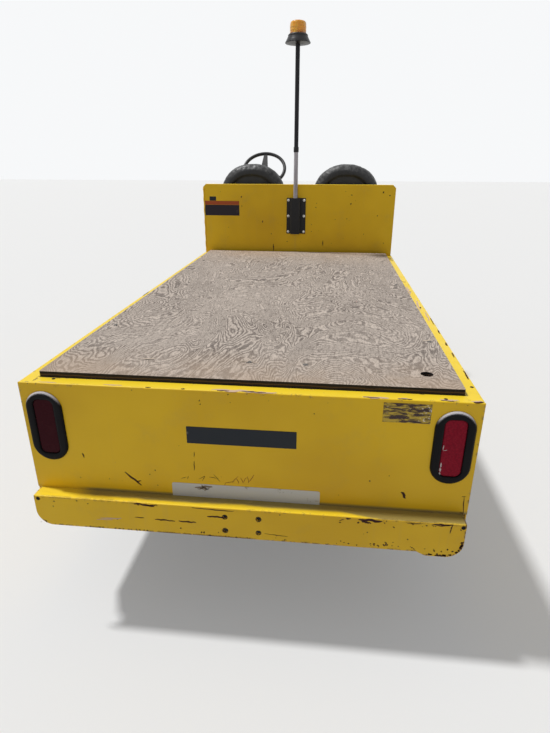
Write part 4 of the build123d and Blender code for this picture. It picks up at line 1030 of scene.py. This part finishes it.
def shoulderLug(bm, place, look, side, i):  # runs down the side of the tyre
    angles = [2 * math.pi * (i + share) / look["blocks"] for share in look["lugShares"]]
    quads = []
    for r, h in inMetres(look["lug"]):
        quads.append([bm.verts.new(place @ onCircle(r, angle, side * h)) for angle in angles])
    for first, second in zip(quads, quads[1:] + quads[:1]):
        bm.faces.new((first[0], first[1], second[1], second[0]))
    for k in (0, 1):
        bm.faces.new([quad[k] for quad in quads])


def tyrePiece(name, node, body, place):
    look = wheelLook
    half = inMetres(look["sidewall"])
    bm = bmesh.new()
    lathe(bm, place, half + [(r, -h) for r, h in reversed(half)], 96, closed=True)
    for row in range(len(look["rows"])):
        treadRow(bm, place, look, row)
    for side in (-1, 1):
        for i in range(look["blocks"]):
            shoulderLug(bm, place, look, side, i)
    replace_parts(finishPiece(name, bm, "tyre", body, sharp=28), node)


def wheelTrim(name, body, place):
    look = wheelLook
    bm = bmesh.new()
    for i in range(look["nuts"]):
        spot = onCircle(look["nutCircle"], 2 * math.pi * i / look["nuts"] + 0.3, 0)
        hexBolt(bm, place @ Matrix.Translation((0, 0, 0.0025)), spot.x, spot.y, 0.0095, 0.017)
    finishPiece(name + "Nuts", bm, "steel", body)
    turnedPiece(name + "Cap", place, look["cap"], 40, "rim", body)
    spot = place @ Matrix.Translation((0.0860, 0.0, 0.004)) @ Matrix.Rotation(0.5, 4, "Y")
    turnedPiece(name + "Valve", spot, look["valve"], 16, "rubber", body)
    wide, tall = look["holeHalf"]
    oval = [(wide * math.cos(2 * math.pi * i / 20), tall * math.sin(2 * math.pi * i / 20)) for i in range(20)]
    bm = bmesh.new()  # hand holes, drawn on the disc
    for i in range(look["holes"]):
        angle = 2 * math.pi * (i + 0.5) / look["holes"]
        spot = place @ Matrix.Translation(onCircle(look["holeCircle"], angle, 0.0042))
        slab(bm, spot @ Matrix.Rotation(angle, 4, "Z") @ Matrix.Rotation(-0.1, 4, "Y"), oval, 0.0, 0.0006)
    finishPiece(name + "HandHoles", bm, "hole", body)


for end in ("rear", "front"):
    for side, hand in ((-1, "left"), (1, "right")):
        short = end.title() + hand.title()
        body = f"wheel_{end[0]}{hand[0]}"
        place = wheelPlace(side, wheelLook[end])
        tyrePiece("tyre" + short, f"tyre_{end}_{hand}", body, place)
        wheelTrim("wheel" + short, body, place)
print("wheels made")

# Seats: pads swollen by cloth pressure, a welt round each cushion and the roll round each back
seatLook = {
    "x": 0.283, "cushion": (0.445, 0.465, 0.086), "cushionBack": 2.1525, "cushionLow": 0.7475,
    "cushionEdge": 0.022, "cushionTop": 0.850, "corner": 0.062,
    "back": (0.411, 0.871, 1.243), "backFace": 2.127, "backDepth": 0.079, "arch": 0.45, "foot": 0.12,
    "roll": [(0, 79), (0, 34), (4, 21), (12, 10), (22, 3), (33, 0), (44, 3), (53, 9), (59, 17), (62, 23)],
    "voxel": 0.006, "cap": 0.022, "frames": 20, "smoothing": 6, "cushionWelt": 0.0042, "backWelt": 0.004,
    "cloth": {"quality": 4, "mass": 0.3, "tension_stiffness": 12.0, "compression_stiffness": 12.0,
              "shear_stiffness": 6.0, "bending_stiffness": 1.0, "use_pressure": True,
              "uniform_pressure_force": 4.0},
}


def roundedTop(width, low, high, arch, foot, steps=10):
    points = []
    half = width / 2
    for cu, cv, radius, start in ((half - foot, low + foot, foot, -90), (half - arch, high - arch, arch, 0),
                                  (arch - half, high - arch, arch, 90), (foot - half, low + foot, foot, 180)):
        for i in range(steps + 1):
            angle = math.radians(start + 90 * i / steps)
            points.append((cu + radius * math.cos(angle), cv + radius * math.sin(angle)))
    return points


def applied(piece, kind, **settings):  # one modifier, worked into the piece's mesh
    modifier = piece.modifiers.new(kind.lower(), kind)
    for key, value in settings.items():
        setattr(modifier, key, value)
    bpy.context.view_layer.update()
    ready = bpy.data.meshes.new_from_object(piece.evaluated_get(bpy.context.evaluated_depsgraph_get()))
    piece.modifiers.clear()
    piece.data = ready


def swell(piece, look):
    start = [v.co.copy() for v in piece.data.vertices]
    cloth = piece.modifiers.new("cloth", "CLOTH")
    for key, value in look["cloth"].items():
        setattr(cloth.settings, key, value)
    cloth.settings.effector_weights.gravity = 0.0
    cloth.collision_settings.use_collision = False
    for frameNumber in range(1, look["frames"] + 1):
        scene.frame_set(frameNumber)
    shaped = piece.evaluated_get(bpy.context.evaluated_depsgraph_get()).to_mesh()
    ends = [v.co.copy() for v in shaped.vertices]
    piece.modifiers.clear()
    for vertex, first, last in zip(piece.data.vertices, start, ends):
        move = last - first
        if move.length > look["cap"]:
            move *= look["cap"] / move.length
        vertex.co = first + move
    scene.frame_set(1)


def keepInside(piece, low, high):  # flat where it rests, and never outside the solid's box
    for vertex in piece.data.vertices:
        for axis in range(3):
            vertex.co[axis] = min(max(vertex.co[axis], low[axis]), high[axis])


def padPiece(name, bm, look, low, high):
    bmesh.ops.recalc_face_normals(bm, faces=bm.faces)
    mesh = bpy.data.meshes.new(name)
    bm.to_mesh(mesh)
    bm.free()
    piece = bpy.data.objects.new(name, mesh)
    collection.objects.link(piece)
    applied(piece, "REMESH", mode="VOXEL", voxel_size=look["voxel"])
    swell(piece, look)
    for vertex in piece.data.vertices:  # shallow unevenness that years of use leave
        push = noise.noise(vertex.co * 7.0) * 0.0016 + noise.noise(vertex.co * 26.0) * 0.0004
        vertex.co += vertex.normal * push
    keepInside(piece, low, high)
    applied(piece, "SMOOTH", factor=0.5, iterations=look["smoothing"])
    piece.data.materials.clear()
    piece.data.materials.append(finishes["vinyl"])
    piece.data.shade_smooth()
    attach(piece, "chassis")
    return piece


def onSurface(piece, points, radius):
    tree = BVHTree.FromObject(piece, bpy.context.evaluated_depsgraph_get())
    path = []
    for point in points:
        place, normal, index, distance = tree.find_nearest(Vector(point))
        path.append(place + normal * radius * 0.35)
    return path


def weltPiece(name, piece, points, radius):
    bm = bmesh.new()
    tube(bm, onSurface(piece, points, radius), radius, 8, closed=True)
    finishPiece(name + "Welt", bm, "vinyl", sharp=60)


def seatCushion(side, name):
    look = seatLook
    width, depth, height = look["cushion"]
    x = side * look["x"]
    y0 = station(look["cushionBack"])
    corners = (x - width / 2, y0, x + width / 2, y0 + depth, look["corner"])
    bm = bmesh.new()
    base = planeFacingUp(look["cushionLow"])
    slab(bm, base, roundRect(*corners, 8), 0.0, height * 0.80, look["cushionEdge"])
    low = (x - 0.2265, y0 - 0.004, 0.745)
    piece = padPiece(name, bm, look, low, (x + 0.2265, y0 + depth + 0.006, look["cushionTop"]))
    level = look["cushionLow"] + height * 0.72
    weltPiece(name, piece, [(u, v, level) for u, v in roundRect(*corners, 12)], look["cushionWelt"])
    return piece


def seatBack(side, name):
    look = seatLook
    width, low, high = look["back"]
    x = side * look["x"]
    face = station(look["backFace"])
    place = planeFacingBack(face) @ Matrix.Translation((x, 0, 0))
    bm = bmesh.new()
    rings = []
    for inset, depth in inMetres(look["roll"]):
        span = width - 2 * inset
        shape = roundedTop(span, low + inset, high - inset, span * look["arch"], span * look["foot"])
        rings.append([bm.verts.new(place @ Vector((u, v, -depth))) for u, v in shape])
    count = len(rings[0])
    for first, second in zip(rings, rings[1:]):
        for i in range(count):
            j = (i + 1) % count
            bm.faces.new((first[i], first[j], second[j], second[i]))
    bm.faces.new(rings[0][::-1])
    bm.faces.new(rings[-1])
    top = (x + 0.2085, face + look["backDepth"] + 0.012, 1.2480)
    piece = padPiece(name, bm, look, (x - 0.2085, face - 0.004, 0.868), top)
    arch, foot = width * look["arch"] - 0.006, width * look["foot"]
    seam = roundedTop(width - 0.012, low + 0.006, high - 0.006, arch, foot, 14)
    weltPiece(name, piece, [(x + u, face + look["backDepth"] * 0.80, v) for u, v in seam], look["backWelt"])
    return piece


for side, hand in ((-1, "Left"), (1, "Right")):
    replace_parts(seatCushion(side, "seatCushion" + hand), "seat_cushions")
    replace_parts(seatBack(side, "seatBack" + hand), "seat_backs")
print("seats made")

# Steering wheel: a smooth grip over the rim, and a horn button
steerLook = {
    "centre": (-0.267, station(2.600), 1.207), "ring": 0.140, "grip": 0.0112,
    "horn": [(34.5, -30), (35, -6), (33, -2), (27, 0.5), (26.2, -0.5), (25.5, 1), (24, 3.2), (15, 5.2),
             (0, 5.6)],
}
half = math.sqrt(0.5)
tilted = Matrix(((1, 0, 0, 0), (0, half, -half, 0), (0, half, half, 0), (0, 0, 0, 1)))
steerPlace = Matrix.Translation(steerLook["centre"]) @ tilted
bm = bmesh.new()
gripPoints = [steerPlace @ onCircle(steerLook["ring"], 2 * math.pi * i / 96, 0) for i in range(96)]
tube(bm, gripPoints, steerLook["grip"], 14, closed=True)
finishPiece("wheelGripRing", bm, "grip", "steering")
turnedPiece("hornButton", steerPlace, steerLook["horn"], 48, "satinBlack", "steering")
print("steering wheel made")

# Cab: step mat and pedal rubbers with cross ribs, lever grip, dash controls and lamps
matLook = {"corner": 0.012, "base": (0.0, 0.0028, 0.001), "ribs": 27, "sideGap": 0.012, "endGap": 0.012,
           "ribHalf": 0.0030, "ribCorner": 0.0012, "rib": (0.0025, 0.0046, 0.001)}
pedalLook = {"corner": 0.008, "base": (0.0045, 0.0085, 0.001), "ribs": 9, "sideGap": 0.007, "endGap": 0.009,
             "ribHalf": 0.0022, "ribCorner": 0.001, "rib": (0.008, 0.0112, 0.0008)}
cabLook = {
    "mat": (-0.545, station(2.735), 0.545, station(3.075)), "floor": 0.348,
    "pedals": [(-0.200, 0.070, 0.458), (-0.110, 0.055, 0.478)], "pedalS": 3.000, "pedalHalf": 0.047,
    "tilt": 50.0,
    "leverFoot": (-0.010, station(2.740), 0.678), "leverTop": (-0.010, station(2.732), 0.788),
    "leverRidges": 7,
    "dashFoot": (0, station(2.965), 0.935), "dashRise": 0.110, "dashRun": 0.225,
    "gaugePlace": (-0.070, 0.070, 0), "gaugeTicks": 9, "lampX": 0.430, "lampZ": 0.775, "lampFace": 3.190,
}


def ribbedPad(bm, place, corners, look):
    u0, v0, u1, v1 = corners
    side, end, half = look["sideGap"], look["endGap"], look["ribHalf"]
    slab(bm, place, roundRect(*corners, look["corner"]), *look["base"])
    for i in range(look["ribs"]):
        v = v0 + end + (v1 - v0 - 2 * end) * i / (look["ribs"] - 1)
        rib = roundRect(u0 + side, v - half, u1 - side, v + half, look["ribCorner"], 2)
        slab(bm, place, rib, *look["rib"])


def leverGrip(look):
    foot, top = Vector(look["leverFoot"]), Vector(look["leverTop"])
    length = (top - foot).length
    place = Matrix.Translation(foot) @ (top - foot).normalized().to_track_quat("Z", "X").to_matrix().to_4x4()
    step = (length - 0.018) / look["leverRidges"]
    profile = [(0.0155, 0.0)]
    for i in range(look["leverRidges"]):
        start = 0.006 + step * i
        profile += [(0.0160, start), (0.0168, start + step * 0.4), (0.0160, start + step * 0.85)]
    profile += [(0.0150, length - 0.004), (0.0100, length + 0.0005), (0.0, length + 0.001)]
    bm = bmesh.new()
    lathe(bm, place, profile, 28)
    finishPiece("leverGrip", bm, "rubber")


bm = bmesh.new()
ribbedPad(bm, planeFacingUp(cabLook["floor"]), cabLook["mat"], matLook)
finishPiece("floorMat", bm, "mat")
bm = bmesh.new()
for x, width, z in cabLook["pedals"]:
    spot = Matrix.Translation((x, station(cabLook["pedalS"]), z))
    edge = width / 2 + 0.002
    corners = (-edge, -cabLook["pedalHalf"], edge, cabLook["pedalHalf"])
    ribbedPad(bm, spot @ Matrix.Rotation(math.radians(cabLook["tilt"]), 4, "X"), corners, pedalLook)
finishPiece("pedalRubbers", bm, "rubber")
leverGrip(cabLook)

slope = Matrix.Rotation(math.atan2(cabLook["dashRise"], cabLook["dashRun"]), 4, "X")
dashPlace = Matrix.Translation(cabLook["dashFoot"]) @ slope
gaugePlace = dashPlace @ Matrix.Translation(cabLook["gaugePlace"])
bm = bmesh.new()
lathe(bm, gaugePlace, inMetres([(30, 0), (30, 4), (27.5, 6.5), (25.5, 6.5), (25, 0)]), 44, True)
boxPiece(bm, dashPlace, (-0.014, 0.052, -0.001), (0.014, 0.092, 0.007), 0.0015)
boxPiece(bm, dashPlace, (-0.010, 0.060, 0.006), (0.010, 0.084, 0.012), 0.0025)
lockPlace = dashPlace @ Matrix.Translation((0.050, 0.072, 0))
lathe(bm, lockPlace, inMetres([(14, 0), (14, 3), (11, 6), (4.5, 7), (0, 6)]), 32)
finishPiece("dashControls", bm, "satinBlack")
bm = bmesh.new()
slab(bm, gaugePlace, ringOutline(0, 0, 0.0252, 36), 0.0005, 0.0035)
finishPiece("gaugeFace", bm, "sticker")
bm = bmesh.new()
dial = gaugePlace @ Matrix.Translation((0, 0, 0.0036))
for i in range(cabLook["gaugeTicks"]):
    angle = math.radians(30 + 15 * i)
    ends = [onCircle(reach, angle, 0).xy for reach in (0.0228, 0.0205 if i % 4 else 0.0190)]
    ribbon(bm, dial, ends, 0.0011, 0.0003)
ribbon(bm, dial, inMetres([(2, -8), (-3, 4), (-10, 18)]), 0.0016, 0.0006)
finishPiece("gaugeMarks", bm, "hole")
bm = bmesh.new()
boxPiece(bm, dashPlace, (0.0485, 0.060, 0.0065), (0.0515, 0.084, 0.022), 0.0012)
finishPiece("ignitionKey", bm, "bright")

lampRing = [(89, 0), (89.5, 4), (87, 10), (82, 13.5), (76.5, 14), (75.5, 11.5), (75.5, 0)]
lampGlass = [(76, 12.8), (70, 15), (55, 17.5), (36, 19.2), (16, 20), (0, 20.2)]
frontFace = planeFacingFront(station(cabLook["lampFace"]))
for side, hand in ((-1, "Left"), (1, "Right")):
    spot = frontFace @ Matrix.Translation((-side * cabLook["lampX"], cabLook["lampZ"], 0))
    turnedPiece("headlightRing" + hand, spot, lampRing, 72, "bright", closed=True)
    turnedPiece("headlightGlass" + hand, spot, lampGlass, 56, "glass")
print("cab made")

# Running gear: U-bolts round the axles
gearLook = {"x": 0.205, "top": 0.3175, "bolt": 0.0055, "reach": 0.0285,
            "axles": [(station(0.830), 0.1875, 0.0455), (station(2.400), 0.2020, 0.0265)]}


def uBolt(bm, x, y, low, half, top):
    points = [(x, y - half, top)]
    for i in range(13):  # half a turn below the axle
        angle = math.pi + math.pi * i / 12
        points.append((x, y + half * math.cos(angle), low + half + half * math.sin(angle)))
    points.append((x, y + half, top))
    tube(bm, points, gearLook["bolt"], 8)
    for end in (-half, half):
        hexBolt(bm, Matrix.Translation((x, y + end, top - 0.006)), 0, 0, 0.0085, 0.009)


bm = bmesh.new()
for side in (-1, 1):
    for reach in (-gearLook["reach"], gearLook["reach"]):
        for y, low, half in gearLook["axles"]:
            uBolt(bm, side * gearLook["x"] + reach, y, low, half, gearLook["top"])
finishPiece("axleUBolts", bm, "steel")
print("running gear made")
